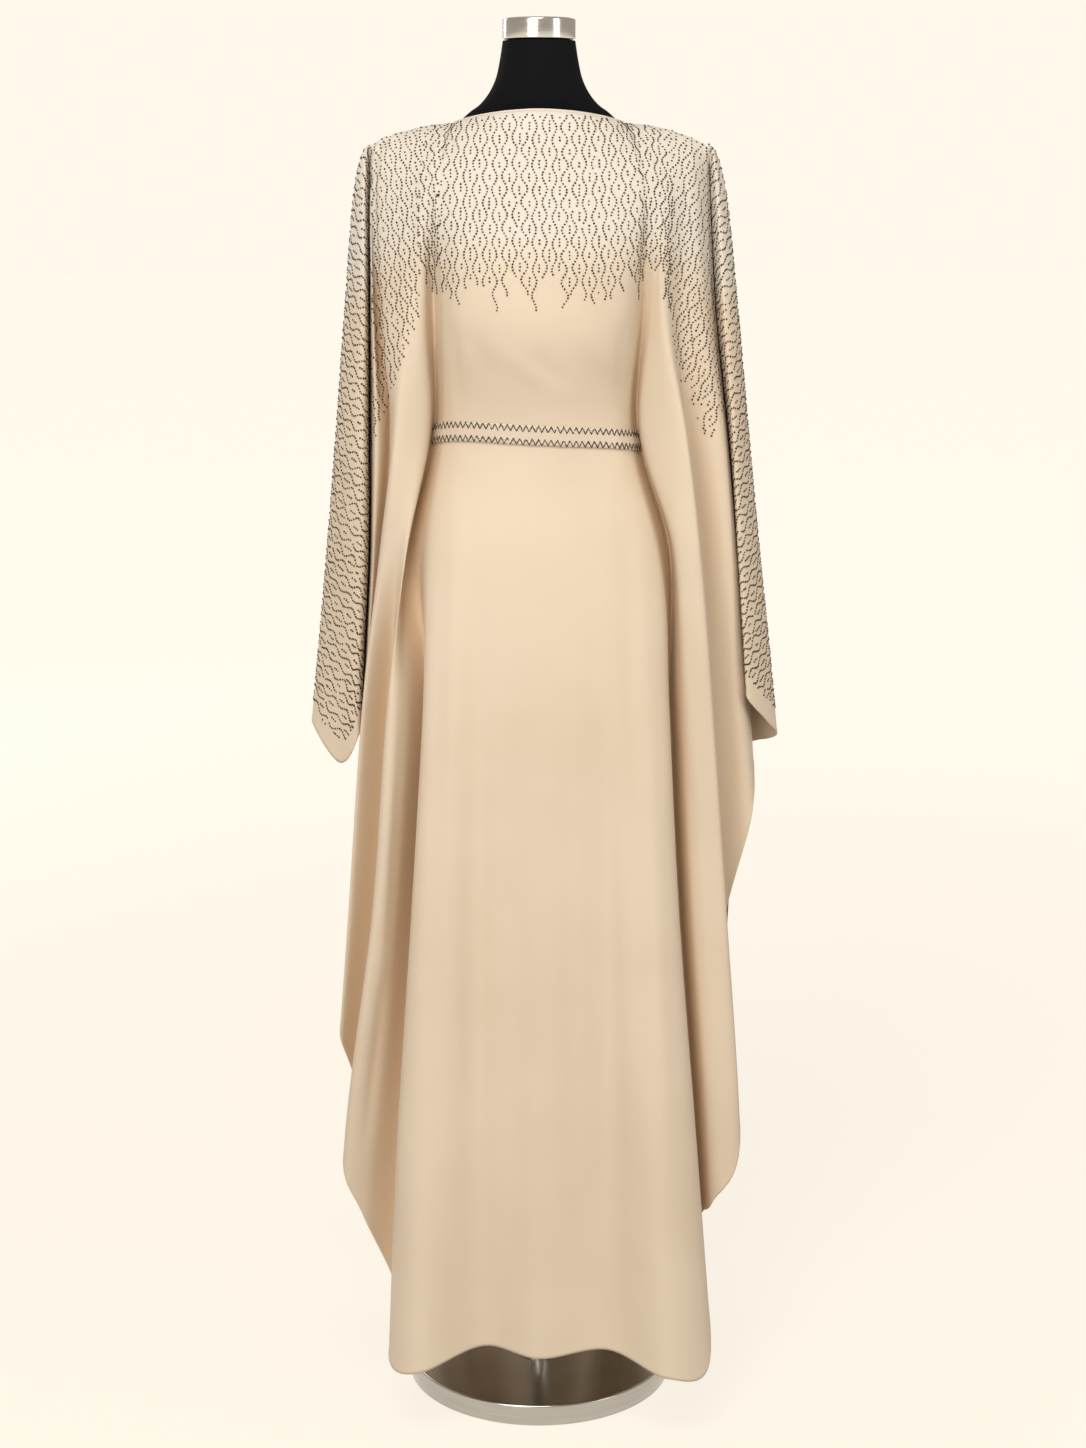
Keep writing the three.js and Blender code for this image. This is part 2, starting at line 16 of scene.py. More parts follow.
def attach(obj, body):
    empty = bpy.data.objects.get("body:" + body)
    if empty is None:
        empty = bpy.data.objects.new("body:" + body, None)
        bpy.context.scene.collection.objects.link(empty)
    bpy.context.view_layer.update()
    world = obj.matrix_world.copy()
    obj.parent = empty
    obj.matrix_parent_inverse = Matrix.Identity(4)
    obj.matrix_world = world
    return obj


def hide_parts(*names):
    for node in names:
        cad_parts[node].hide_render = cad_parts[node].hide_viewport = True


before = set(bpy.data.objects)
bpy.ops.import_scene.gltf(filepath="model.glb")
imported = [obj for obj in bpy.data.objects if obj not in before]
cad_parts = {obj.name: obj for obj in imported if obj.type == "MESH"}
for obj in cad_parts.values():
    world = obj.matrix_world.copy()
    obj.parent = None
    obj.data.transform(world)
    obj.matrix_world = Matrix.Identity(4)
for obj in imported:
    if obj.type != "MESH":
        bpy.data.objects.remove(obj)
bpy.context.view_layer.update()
MM = 0.001


class Facts(dict):
    """A dict whose values also read as attributes."""
    __getattr__ = dict.__getitem__


# %% [markdown]
# ## Camera, floor and light
# The camera stands a little above chest height and looks slightly down. The studio is a cream room:
# the floor glows softly in the room's own colour, so that it meets the background without a line,
# and still takes the stand's shadow, because a part of its brightness is reflected light.

# %% Camera
CAMERA = Facts(place=(0.0044, -2.9, 1.47), pitch=12.65, lens=62.65)

bpy.ops.object.camera_add(location=CAMERA.place, rotation=(math.radians(90 - CAMERA.pitch), 0, 0))
camera = bpy.context.object
camera.data.sensor_fit = "VERTICAL"
camera.data.sensor_height = 36
camera.data.lens = CAMERA.lens
bpy.context.scene.camera = camera
bpy.context.scene.view_settings.view_transform = "Standard"
print("camera at", tuple(camera.location), "lens", camera.data.lens)

# %% [markdown]
# Shader maths is easier to read as arithmetic. `Signal` wraps one output socket, and its operators
# add the Math nodes. `Finish` wraps a material: `node` adds any node, with its settings first and
# then the values or links of its sockets.


# %% Writing materials as expressions


class Signal:
    """One output socket. Arithmetic on it adds Math nodes."""

    def __init__(self, finish, socket):
        self.finish = finish
        self.socket = socket

    def math(self, operation, *others):
        values = dict(enumerate([self, *others]))
        return self.finish.node("ShaderNodeMath", {"operation": operation}, values)

    def __add__(self, other):
        return self.math("ADD", other)

    def __mul__(self, other):
        return self.math("MULTIPLY", other)

    __radd__ = __add__

    def wave(self, pitch):
        """A sine from 0 to 1 that repeats every pitch."""
        return (self * (2 * math.pi / pitch)).math("SINE") * 0.5 + 0.5

    def between(self, low, high):
        """0 below low, 1 above high, and smooth between them."""
        return self.finish.node("ShaderNodeMapRange", {"interpolation_type": "SMOOTHSTEP"},
                                {"Value": self, "From Min": low, "From Max": high})


class Finish:
    """A material with one Principled shader, whose uniform values are set on its own sockets."""

    def __init__(self, name, **uniform):
        self.material = bpy.data.materials.new(name)
        self.material.use_nodes = True
        self.tree = self.material.node_tree
        self.shader = self.tree.nodes["Principled BSDF"]
        for socket, value in uniform.items():
            self.shader.inputs[socket.replace("_", " ")].default_value = value

    def node(self, kind, settings=None, sockets=None, output=0):
        node = self.tree.nodes.new(kind)
        for name, value in (settings or {}).items():
            setattr(node, name, value)
        for name, value in (sockets or {}).items():
            if isinstance(value, Signal):
                self.tree.links.new(value.socket, node.inputs[name])
            else:
                node.inputs[name].default_value = value
        return Signal(self, node.outputs[output])

    def place(self):
        """The point's place in space, in metres."""
        return self.node("ShaderNodeTexCoord", output="Object")

    def cut(self):
        """The point's place on the flat cut, in metres."""
        return self.node("ShaderNodeUVMap", {"uv_map": "cut"})

    def flat(self):
        """Across and down on the flat cut, each as a value of its own."""
        cut = self.cut()
        return [self.node("ShaderNodeSeparateXYZ", None, {"Vector": cut}, axis) for axis in "XY"]

    def stretch(self, vector, scale):
        return self.node("ShaderNodeMapping", None, {"Vector": vector, "Scale": scale})

    def noise(self, vector, scale=1.0, detail=2.0):
        return self.node("ShaderNodeTexNoise", None, {
            "Vector": vector, "Scale": scale, "Detail": detail, "Roughness": 0.5})

    def blend(self, share, low, high):
        """A colour between low and high. Numbers name the Mix node's sockets for colours."""
        return self.node("ShaderNodeMix", {"data_type": "RGBA"}, {0: share, 6: low, 7: high}, 2)

    def link(self, **sockets):
        for name, value in sockets.items():
            self.tree.links.new(value.socket, self.shader.inputs[name.replace("_", " ")])
        return self

    def bump(self, height, distance, strength):
        bumped = self.node("ShaderNodeBump", None, {
            "Height": height, "Distance": distance, "Strength": strength})
        return self.link(Normal=bumped)

# %% [markdown]
# Paper rolled out under the stand has no far edge. Here one big plane is enough: it glows in the
# room's colour far away, and a little darker near the stand, where the lamps reach it.

# %% Floor and room
ROOM = (1.0, 0.939, 0.831, 1)
FLOOR_NEAR = (0.85, 0.798, 0.706, 1)      # the lamps add the rest near the stand
FLOOR_FAR = (0.945, 0.892, 0.796, 1)
FLOOR_FADE = (0.8, 4.5)                   # metres from the stand between the two
ROOM_LIGHT = ((1.0, 0.89, 0.75, 1), 0.44)

bpy.ops.mesh.primitive_plane_add(size=60, location=(0, 0, -0.0005))
floor = bpy.context.object
floor.name = "floor"
paper = Finish("floor_paper", Base_Color=(0.16, 0.15, 0.13, 1), Roughness=1.0,
               Specular_IOR_Level=0.0, Emission_Strength=1.0)
away = paper.node("ShaderNodeVectorMath", {"operation": "LENGTH"}, {0: paper.place()}, "Value")
paper.link(Emission_Color=paper.blend(away.between(*FLOOR_FADE), FLOOR_NEAR, FLOOR_FAR))
floor.data.materials.append(paper.material)
floor.visible_diffuse = False

world = bpy.data.worlds.new("room")
bpy.context.scene.world = world
world.use_nodes = True
room = world.node_tree
seen = room.nodes.new("ShaderNodeBackground")
seen.inputs["Color"].default_value = ROOM
filling = room.nodes["Background"]
filling.inputs["Color"].default_value, filling.inputs["Strength"].default_value = ROOM_LIGHT
path = room.nodes.new("ShaderNodeLightPath")
choose = room.nodes.new("ShaderNodeMixShader")
for number, source in enumerate((path.outputs["Is Camera Ray"], filling.outputs[0], seen.outputs[0])):
    room.links.new(source, choose.inputs[number])
room.links.new(choose.outputs[0], room.nodes["World Output"].inputs["Surface"])
print("room", ROOM[:3], "and floor", FLOOR_NEAR[:3])

# %% [markdown]
# Softboxes show folds without hard shadows: one above, one in front, a narrow one that draws the
# sleeve's edge, and a weak one behind.

# %% Lamps
LAMP_COLOUR = (1.0, 0.975, 0.94)
LAMPS = {
    # name: place, aimed at, width and height in metres, power in watts
    "top_softbox": ((-0.5, -2.6, 4.6), (0, 0, 1.0), (2.2, 1.6), 96),
    "front_softbox": ((-1.4, -3.8, 2.0), (0, 0, 0.8), (1.8, 2.6), 79),
    "side_softbox": ((2.8, -1.8, 1.9), (0, 0, 0.9), (0.9, 2.4), 30),
    "back_softbox": ((-2.6, 3.0, 2.2), (0, 0, 0.9), (1.2, 2.2), 24),
}


def lamp(name, place, target, size, power):
    bpy.ops.object.light_add(type="AREA", location=place)
    light = bpy.context.object
    light.name = name
    light.rotation_euler = (Vector(target) - Vector(place)).to_track_quat("-Z", "Y").to_euler()
    light.data.shape = "RECTANGLE"
    light.data.size, light.data.size_y = size
    light.data.energy = power
    light.data.color = LAMP_COLOUR


for name, facts in LAMPS.items():
    lamp(name, *facts)
print(len(LAMPS), "lamps,", sum(facts[3] for facts in LAMPS.values()), "W")

# %% [markdown]
# ## The cloth
# Draped cloth is easiest to describe by its folds. A fold line runs from the neckline or the
# shoulder down to the hem, and has its place at eight heights. A panel is the smooth surface
# through its fold lines. Simulation was the other way, but the long folds of a hung garment keep
# their place much better when they are laid one by one. Numbers are in mm: x outwards from the middle,
# y backwards. Where `top` holds one number, the line starts on the shoulder.

# %% Fold lines of the front
SECTION_Z = [1440, 1300, 1167, 1030, 860, 620, 340, 60]
SHOULDER = Facts(neck_x=80, neck_z=1509, tip_x=191, drop=26.1, power=2.25, seam_y=-3)
SEAM_GAP = 0.1


def fold(name, top, hem, out, y):
    """A fold line: its upper end, its hem's height, and how far out and back it is at each height."""
    return Facts(name=name, top=top, hem=hem, out=out, y=y)


CENTRE_FRONT = fold("centre front", [0, -60, 1521.5], 100,
                    [0] * 8, [-91, -121, -98, -124, -144, -158, -174, -190])
FRONT_RIGHT = [
    fold("inner hollow", [36, -56, 1519.5], 103,
         [45, 46, 44, 52, 62, 69, 75, 81], [-89, -118, -94, -121, -139, -151, -163, -171]),
    fold("hem lobe", [66, -40, 1515.5], 84,
         [85, 86, 84, 98, 110, 121, 136, 151], [-83, -104, -80, -112, -137, -160, -184, -208]),
    fold("skirt edge", [87, -22, 1510.8], 86,
         [108, 104, 102, 134, 145, 158, 181, 203], [-77, -86, -60, -86, -118, -138, -154, -170]),
    fold("waist valley", [96], 226,
         [118, 115, 113, 150, 149, 162, 184, 206], [-72, -62, -38, -48, -66, -80, -90, -102]),
    fold("fall lip", [108], 262,
         [128, 126, 118, 156, 166, 179, 200, 216], [-68, -72, -66, -92, -98, -106, -110, -112]),
    fold("fall edge", [122], 334,
         [140, 140, 163, 182, 197, 216, 237, 243], [-62, -80, -92, -98, -104, -106, -104, -100]),
    fold("fall valley", [146], 558,
         [158, 158, 166, 181, 195, 211, 228, 234], [-50, -58, -50, -48, -52, -52, -50, -46]),
    fold("wing edge", [168], 725,
         [176, 186, 206, 221, 234, 259, 262, 257], [-38, -48, -48, -46, -44, -46, -38, -32]),
]
FRONT_LEFT = [
    fold("inner hollow", [36, -56, 1519.5], 107,
         [45, 46, 44, 50, 60, 62, 64, 66], [-89, -118, -94, -121, -140, -151, -162, -169]),
    fold("hem lobe", [66, -40, 1515.5], 90,
         [85, 86, 84, 98, 108, 118, 130, 140], [-83, -104, -80, -112, -137, -159, -181, -206]),
    fold("skirt edge", [87, -22, 1510.8], 88,
         [106, 104, 106, 124, 131, 146, 165, 178], [-77, -86, -60, -98, -124, -141, -156, -170]),
    fold("recess", [96], 145,
         [112, 111, 114, 136, 127, 142, 161, 175], [-76, -72, -46, -72, -74, -78, -92, -106]),
    fold("waist valley", [102], 246,
         [118, 118, 121, 153, 151, 168, 200, 222], [-74, -62, -38, -66, -104, -110, -114, -112]),
    fold("fall edge", [112], 308,
         [128, 127, 125, 150, 172, 192, 229, 242], [-70, -78, -68, -98, -112, -114, -112, -106]),
    fold("fall valley", [128], 380,
         [138, 137, 143, 160, 170, 188, 224, 237], [-64, -82, -84, -90, -62, -56, -54, -50]),
    fold("wing edge", [144], 455,
         [154, 151, 161, 179, 201, 221, 244, 250], [-56, -80, -88, -86, -80, -76, -66, -56]),
    fold("slit lip", [160], 466,
         [176, 174, 166, 181, 198, 216, 238, 246], [-44, -62, -64, -60, -54, -48, -38, -30]),
    fold("wing valley", [167], 474,
         [181, 178.5, 168.5, 179, 195, 210, 230, 238], [-36, -30, -28, -30, -28, -22, -16, -14]),
    fold("strip ridge", [177], 488,
         [187.5, 187, 185, 190, 202, 217, 235, 242], [-30, -42, -48, -48, -42, -34, -26, -20]),
]
SIDES = {
    "right": Facts(sign=1, cuff=0.917, hem=770, seam=[192, 201, 216, 230, 247, 262, 262, 255]),
    "left": Facts(sign=-1, cuff=0.792, hem=500, seam=[190, 192, 194, 196, 206, 220, 238, 244]),
}
# half the opening between the seam edges, and how fast it widens above the cuff
SLIT = Facts(most=9, least=2.2, at_top=4, rows=24, a_row=1.6)

# %% [markdown]
# The back is the same cut without the belt. `out` is a share of the side seam's distance, or eight
# numbers, and `hem` holds the right side's height and then the left one's.

# %% Fold lines of the back
CENTRE_BACK = fold("centre back", [0, 50, 1516], 78, 0, [96, 104, 100, 118, 134, 150, 168, 184])
BACK = [
    fold("hollow", [42, 47, 1515], (88, 86), 0.23, [94, 100, 94, 108, 122, 134, 146, 156]),
    fold("ridge", [80, 30, 1511.5], (76, 80), 0.44, [84, 92, 92, 112, 132, 154, 178, 200]),
    fold("valley", [96], (130, 124), 0.6, [72, 74, 70, 78, 86, 94, 106, 118]),
    fold("outer ridge", [122], (200, 200), 0.82, [60, 72, 84, 96, 106, 116, 124, 130]),
    fold("outer valley", [146], (592, 350), 0.88, [48, 50, 46, 46, 48, 52, 56, 60]),
    fold("wing edge", [168], (730, 470), 0.93, [36, 42, 40, 38, 36, 36, 36, 36]),
]

# %% [markdown]
# A batwing sleeve hangs as a flat tube beside the slit. Its `top` is the share of the way from the
# seam to the middle of its upper end.

# %% Fold lines of the sleeves
SLEEVE_TOP = Facts(gap=0.4, apex=189.5, rise=2.2)
SLEEVES = {
    "right": [
        fold("inner edge", 0.25, 862, [198, 207, 219, 228, 240, 256], [-24, -36, -46, -50, -52, -52]),
        fold("front face", 0.5, 832, [205, 220, 232, 245, 262, 280], [-16, -26, -32, -34, -34, -34]),
        fold("ridge", 1, 809, [209, 226, 240, 255, 275, 300], [-4] * 6),
        fold("back face", 0.5, 794, [205, 219, 231, 244, 260, 278], [12, 22, 28, 32, 34, 34]),
        fold("back edge", 0.25, 797, [198, 209, 222, 233, 245, 248], [22, 30, 38, 42, 44, 44]),
    ],
    "left": [
        fold("inner edge", 0.25, 820, [194, 194.5, 196.5, 198.5, 207, 212], [-28, -44, -52, -54, -56, -56]),
        fold("front face", 0.5, 784, [203, 209, 216, 222, 230, 236], [-20, -34, -42, -44, -44, -44]),
        fold("ridge", 1, 825, [207, 221, 233, 246, 264, 292], [-4] * 6),
        fold("back face", 0.5, 800, [203, 211, 220, 229, 242, 262], [14, 24, 30, 34, 36, 36]),
        fold("back edge", 0.25, 812, [195, 197, 201, 206, 216, 230], [22, 32, 40, 44, 46, 46]),
    ],
}
print(1 + len(FRONT_RIGHT + FRONT_LEFT), "front,", 1 + len(BACK), "back and",
      sum(map(len, SLEEVES.values())), "sleeve fold lines")

# %% [markdown]
# A Catmull-Rom curve passes through every number of a table, so the tables can be read straight off
# the garment. The same curve serves across the folds and down them.


# %% Curves through the tables
def span_at(at, count):
    """Which of the spans between count stations each position falls in."""
    return np.clip(np.floor(at).astype(int), 0, count - 2)


def through_four(a, b, c, d, t):
    """From b (t = 0) to c (t = 1), heading as if coming from a and going on to d."""
    return 0.5 * (2 * b + (c - a) * t + (2 * a - 5 * b + 4 * c - d) * t**2
                  + (3 * b - a - 3 * c + d) * t**3)


def smooth_curve(values, at):
    """The curve through values (first axis) at the positions at; straight on beyond the ends."""
    values = np.asarray(values, float)
    at = np.asarray(at, float)
    run = np.concatenate([[2 * values[0] - values[1]], values, [2 * values[-1] - values[-2]]])
    i = span_at(at, len(values))
    t = (at - i).reshape(at.shape + (1,) * (values.ndim - 1))
    return through_four(*(run[i + k] for k in range(4)), t)


def shoulder_z(x):
    reach = (np.abs(x) - SHOULDER.neck_x) / (SHOULDER.tip_x - SHOULDER.neck_x)
    return SHOULDER.neck_z - SHOULDER.drop * np.maximum(0, reach) ** SHOULDER.power


LEVELS = np.linspace(1, 8, 1401)
LEVEL_Z = smooth_curve(SECTION_Z, LEVELS - 1)


def level_of(z):
    """Level 1 is the first section height; level 0 is the top edge."""
    return float(np.interp(-z, -LEVEL_Z, LEVELS))


# %% [markdown]
# `facing` is -1 in front and 1 behind. Each panel also gets a seam line at both sides.


# %% Folds in place
def place_fold(row, side, facing):
    sign, seam = SIDES[side].sign, np.array(SIDES[side].seam)
    on_shoulder = len(row.top) == 1
    x = row.top[0]
    y, z = row.top[1:] or (SHOULDER.seam_y + facing * SEAM_GAP / 2, shoulder_z(x))
    out = np.array(row.out) if np.ndim(row.out) else row.out * seam
    hem = row.hem if np.ndim(row.hem) == 0 else row.hem[side == "left"]
    return Facts(name=row.name, side=side, on_shoulder=on_shoulder, top=[sign * x, y, z],
                x=sign * out, y=row.y, hem=level_of(hem))


def seam_fold(side, facing):
    sign, seam, hem = (SIDES[side][key] for key in ("sign", "seam", "hem"))
    x = SHOULDER.tip_x - SLEEVE_TOP.gap / 2
    return Facts(name="seam", side=side, facing=facing, on_shoulder=True,
                top=[sign * x, SHOULDER.seam_y + facing * SLIT.at_top, shoulder_z(x)],
                x=sign * (np.array(seam) - SEAM_GAP / 2), y=[facing * SLIT.most] * 8,
                hem=level_of(hem))


front_lines = [seam_fold("left", -1), *[place_fold(r, "left", -1) for r in FRONT_LEFT[::-1]],
               place_fold(CENTRE_FRONT, "right", -1),
               *[place_fold(r, "right", -1) for r in FRONT_RIGHT], seam_fold("right", -1)]
back_lines = [seam_fold("right", 1), *[place_fold(r, "right", 1) for r in BACK[::-1]],
              place_fold(CENTRE_BACK, "right", 1),
              *[place_fold(r, "left", 1) for r in BACK], seam_fold("left", 1)]
print(len(front_lines), "fold lines in front,", len(back_lines), "behind")

# %% [markdown]
# Across the folds the curve runs through the fold lines, and down them through the section heights.
# Only the shoulder is straight between two lines, because front and back meet there.


# %% The surface through the folds
def on_shoulder_line(lines, across):
    on = np.array([line.on_shoulder for line in lines])
    i = span_at(across, len(lines))
    return on[i] & on[i + 1]


def top_edge(lines, across):
    """Smooth round the neckline, and exactly on the shoulder line beside it."""
    tops = np.array([line.top for line in lines], float)
    edge = smooth_curve(tops, across)
    i = span_at(across, len(lines))
    straight = on_shoulder_line(lines, across)
    share = (across - i)[:, None]
    level = tops[i] * (1 - share) + tops[i + 1] * share
    level[:, 2] = np.where(straight, shoulder_z(level[:, 0]), level[:, 2])
    return np.where(straight[:, None], level, edge)


def fold_surface(lines, across, levels):
    """Points [row, column, xyz] in mm, at the levels [row, column]."""
    top = top_edge(lines, across)
    x = smooth_curve(np.array([line.x for line in lines], float), across)
    y = smooth_curve(np.array([line.y for line in lines], float), across)
    z = np.broadcast_to(np.array(SECTION_Z[:x.shape[1]], float), x.shape)
    sections = np.stack([x, y, z], axis=2)
    over = sections[:, 0].copy()
    over[:, :2] = 2 * top[:, :2] - over[:, :2]
    run = np.concatenate([over[:, None], top[:, None], sections,
                          (2 * sections[:, -1] - sections[:, -2])[:, None]], axis=1)
    i = span_at(levels, run.shape[1] - 2)
    column = np.arange(len(across))[None, :]
    return through_four(*(run[column, i + k] for k in range(4)), (levels - i)[..., None])


def row_shares(rows, near_hem):
    """Shares of the way down: evenly spaced, and closer at the hem, where the turning is sewn."""
    even = np.linspace(0, 1, rows + 1)
    return np.array([*even[even < near_hem[0] - 0.3 / rows], *near_hem, 1.0])


def slit_half(share, cuff):
    """Half the opening between the seam edges, wide above the cuff and closed below it."""
    open_rows = np.maximum(0, (cuff - share) * SLIT.rows)
    return np.where(share > cuff, SEAM_GAP / 2,
                    np.minimum(SLIT.most, SLIT.least + SLIT.a_row * open_rows))


# %% [markdown]
# Each sheet starts as a grid primitive. Its vertices are moved to the surface, it gets the flat cut
# as its UV map, and Solidify gives it the cloth's thickness. Creases are soft troughs and ridges
# along short lines, added along the surface's own direction outwards. How deep a point lies between
# the folds beside it is kept as an attribute of the mesh; the finish paints shade into deep folds from it.


# %% Mesh helpers
def only(piece):
    """Selects one object and nothing else."""
    bpy.ops.object.select_all(action="DESELECT")
    piece.select_set(True)
    bpy.context.view_layer.objects.active = piece


def apply_modifier(piece, kind, **settings):
    only(piece)
    modifier = piece.modifiers.new(kind.lower(), kind)
    for name, value in settings.items():
        setattr(modifier, name, value)
    bpy.ops.object.modifier_apply(modifier=modifier.name)


def lengths_along(points, axis):
    """Running length of the polylines of points along an axis, from 0."""
    steps = np.linalg.norm(np.diff(points, axis=axis), axis=2)
    start = np.zeros_like(np.take(steps, [0], axis=axis))
    return np.cumsum(np.concatenate([start, steps], axis=axis), axis=axis)


def outward(points):
    down = np.gradient(points, axis=0)
    across = np.gradient(points, axis=1)
    normal = np.cross(down, across)
    return normal / np.maximum(np.linalg.norm(normal, axis=2, keepdims=True), 1e-9)


def crease(points, rows):
    """Each row: x and z at its start and end, half width, and height; a trough is negative."""
    x, z = points[..., 0], points[..., 2]
    height = np.zeros_like(x)
    for x0, z0, x1, z1, width, size in rows:
        run = np.array([x1 - x0, z1 - z0], float)
        long = np.hypot(*run)
        share = ((x - x0) * run[0] + (z - z0) * run[1]) / long**2
        off = np.abs((x - x0) * run[1] - (z - z0) * run[0]) / long
        ends = np.clip(share, 0, 1) * np.clip(1 - share, 0, 1) * 4
        height += size * ends**0.8 * np.exp(-((off / width) ** 2))
    return points + outward(points) * height[..., None]


FOLD_SEARCH = Facts(columns=45, nearest=3, farthest=70)      # the last two in mm


def fold_depth(points, facing):
    """How deep each point lies between its neighbours across, from 0 on a ridge to 1."""
    x, y = points[..., 0], points[..., 1] * facing
    column = np.arange(points.shape[1])
    walls = 0
    for side in (-1, 1):
        rise = np.zeros_like(x)
        for step in range(1, FOLD_SEARCH.columns):
            other = np.clip(column + side * step, 0, len(column) - 1)
            away = np.maximum(np.abs(x[:, other] - x), FOLD_SEARCH.nearest)
            near = away < FOLD_SEARCH.farthest
            rise = np.maximum(rise, np.where(near, (y[:, other] - y) / away, 0))
        walls = walls + np.arctan(rise) / math.pi
    return walls


def move_vertices(piece, places):
    """Moves every vertex of a piece to its place, given in mm."""
    piece.data.vertices.foreach_set("co", (places * MM).astype(np.float32).ravel())
    piece.data.update()


def sheet_mesh(name, points, cut, wall, depth=0.0):
    """A cloth sheet from points, cut and fold depth [row, column], in mm with rows going down."""
    rows, columns = points.shape[:2]
    bpy.ops.mesh.primitive_grid_add(x_subdivisions=columns - 1, y_subdivisions=rows - 1, size=1)
    piece = bpy.context.object
    piece.name = name
    mesh = piece.data
    move_vertices(piece, points[::-1])
    flat = (cut[::-1] * MM).reshape(-1, 2)
    corner = np.zeros(len(mesh.loops), np.int32)
    mesh.loops.foreach_get("vertex_index", corner)
    while mesh.uv_layers:
        mesh.uv_layers.remove(mesh.uv_layers[0])
    mesh.uv_layers.new(name="cut").uv.foreach_set("vector", flat[corner].astype(np.float32).ravel())
    depth = np.broadcast_to(depth, (rows, columns))[::-1]
    mesh.attributes.new("fold_depth", "FLOAT", "POINT").data.foreach_set(
        "value", depth.astype(np.float32).ravel())
    mesh.update()
    apply_modifier(piece, "SOLIDIFY", thickness=wall * MM, offset=-1, use_even_offset=False)
    bpy.ops.object.shade_smooth()
    return piece


def sheet_area(points):
    """Area of one side in square metres."""
    a = np.cross(points[1:, :-1] - points[:-1, :-1], points[:-1, 1:] - points[:-1, :-1])
    b = np.cross(points[1:, :-1] - points[1:, 1:], points[:-1, 1:] - points[1:, 1:])
    return (np.linalg.norm(a, axis=2).sum() + np.linalg.norm(b, axis=2).sum()) / 2 * MM**2


def flat_cut(points, middle):
    """Across from the middle column and down from the top, measured along the cloth, in mm."""
    across = lengths_along(points, 1)
    down = lengths_along(points, 0)
    return np.stack([across - across[:, [middle]], down], axis=2)


STITCHES = Facts(width=1.4, pull=0.9)      # width in mm, pull as a share of the turning's swell


def turn_hem(points, cut, depth, swell):
    """A hem's turning: the cloth swells a little between its edge and the row of stitches."""
    left = cut[-1:, :, 1] - cut[..., 1]
    turning = np.clip(1 - np.abs(left / depth * 2 - 1), 0, 1) ** 0.5
    stitches = np.exp(-(((left - depth) / STITCHES.width) ** 2))
    height = swell * turning - swell * STITCHES.pull * stitches
    return points + outward(points) * height[..., None]


# %% [markdown]
# One function lays all four sheets: the surface through the folds, the slit's edges, the creases,
# the flat cut and the turned hem.

# %% Laying a sheet
CLOTH = 1.0        # thickness of the crepe in mm
PANEL_HEM = Facts(near_hem=(0.993, 0.9965, 0.9985), turning=(9, 0.5))
CUFF_HEM = Facts(near_hem=(0.986, 0.993, 0.997), turning=(7, 0.4))
GRIDS = {
    # columns between two fold lines, rows, the line that lies straight on the cut, the hem's rows,
    # and its turning's depth and swell in mm
    "front_panel": Facts(span=10, rows=176, middle="centre front", **PANEL_HEM),
    "back_panel": Facts(span=9, rows=150, middle="centre back", **PANEL_HEM),
    "sleeve_left": Facts(span=12, rows=110, middle="ridge", **CUFF_HEM),
    "sleeve_right": Facts(span=12, rows=110, middle="ridge", **CUFF_HEM),
}
sheets = {}        # name of a sheet: its points, its flat cut, and its columns between two folds


def columns_through(lines, span):
    """Positions across the fold lines, with span columns from each to the next."""
    return np.linspace(0, len(lines) - 1, (len(lines) - 1) * span + 1)


def lay_sheet(name, lines, facing=0, creases=(), slit_share=1.0):
    grid = GRIDS[name]
    across = columns_through(lines, grid.span)
    shares = row_shares(grid.rows, grid.near_hem)
    hems = smooth_curve([line.hem for line in lines], across)
    points = fold_surface(lines, across, shares[:, None] * hems[None, :])
    for column in (0, -1):
        line = lines[column]
        half = slit_half(shares * slit_share, SIDES[line.side].cuff)
        points[1:, column, 1] = line.facing * half[1:]
    points = crease(points, creases)
    middle = [line.name for line in lines].index(grid.middle) * grid.span
    cut = flat_cut(points, middle)
    points = turn_hem(points, cut, *grid.turning)
    sheets[name] = Facts(points=points, cut=cut, span=grid.span)
    depth = fold_depth(points, facing) if facing else 0.0
    piece = sheet_mesh("cloth_" + name, points, cut, CLOTH, depth)
    print(name, len(piece.data.polygons), "faces, deepest fold", np.round(np.max(depth), 2))
    return piece


# %% [markdown]
# Cloth without creases looks like plastic. Each panel has sharp ones at the shoulder tuck, short
# ones from bust to waist, and long shallow ones that make the skirt's folds uneven.

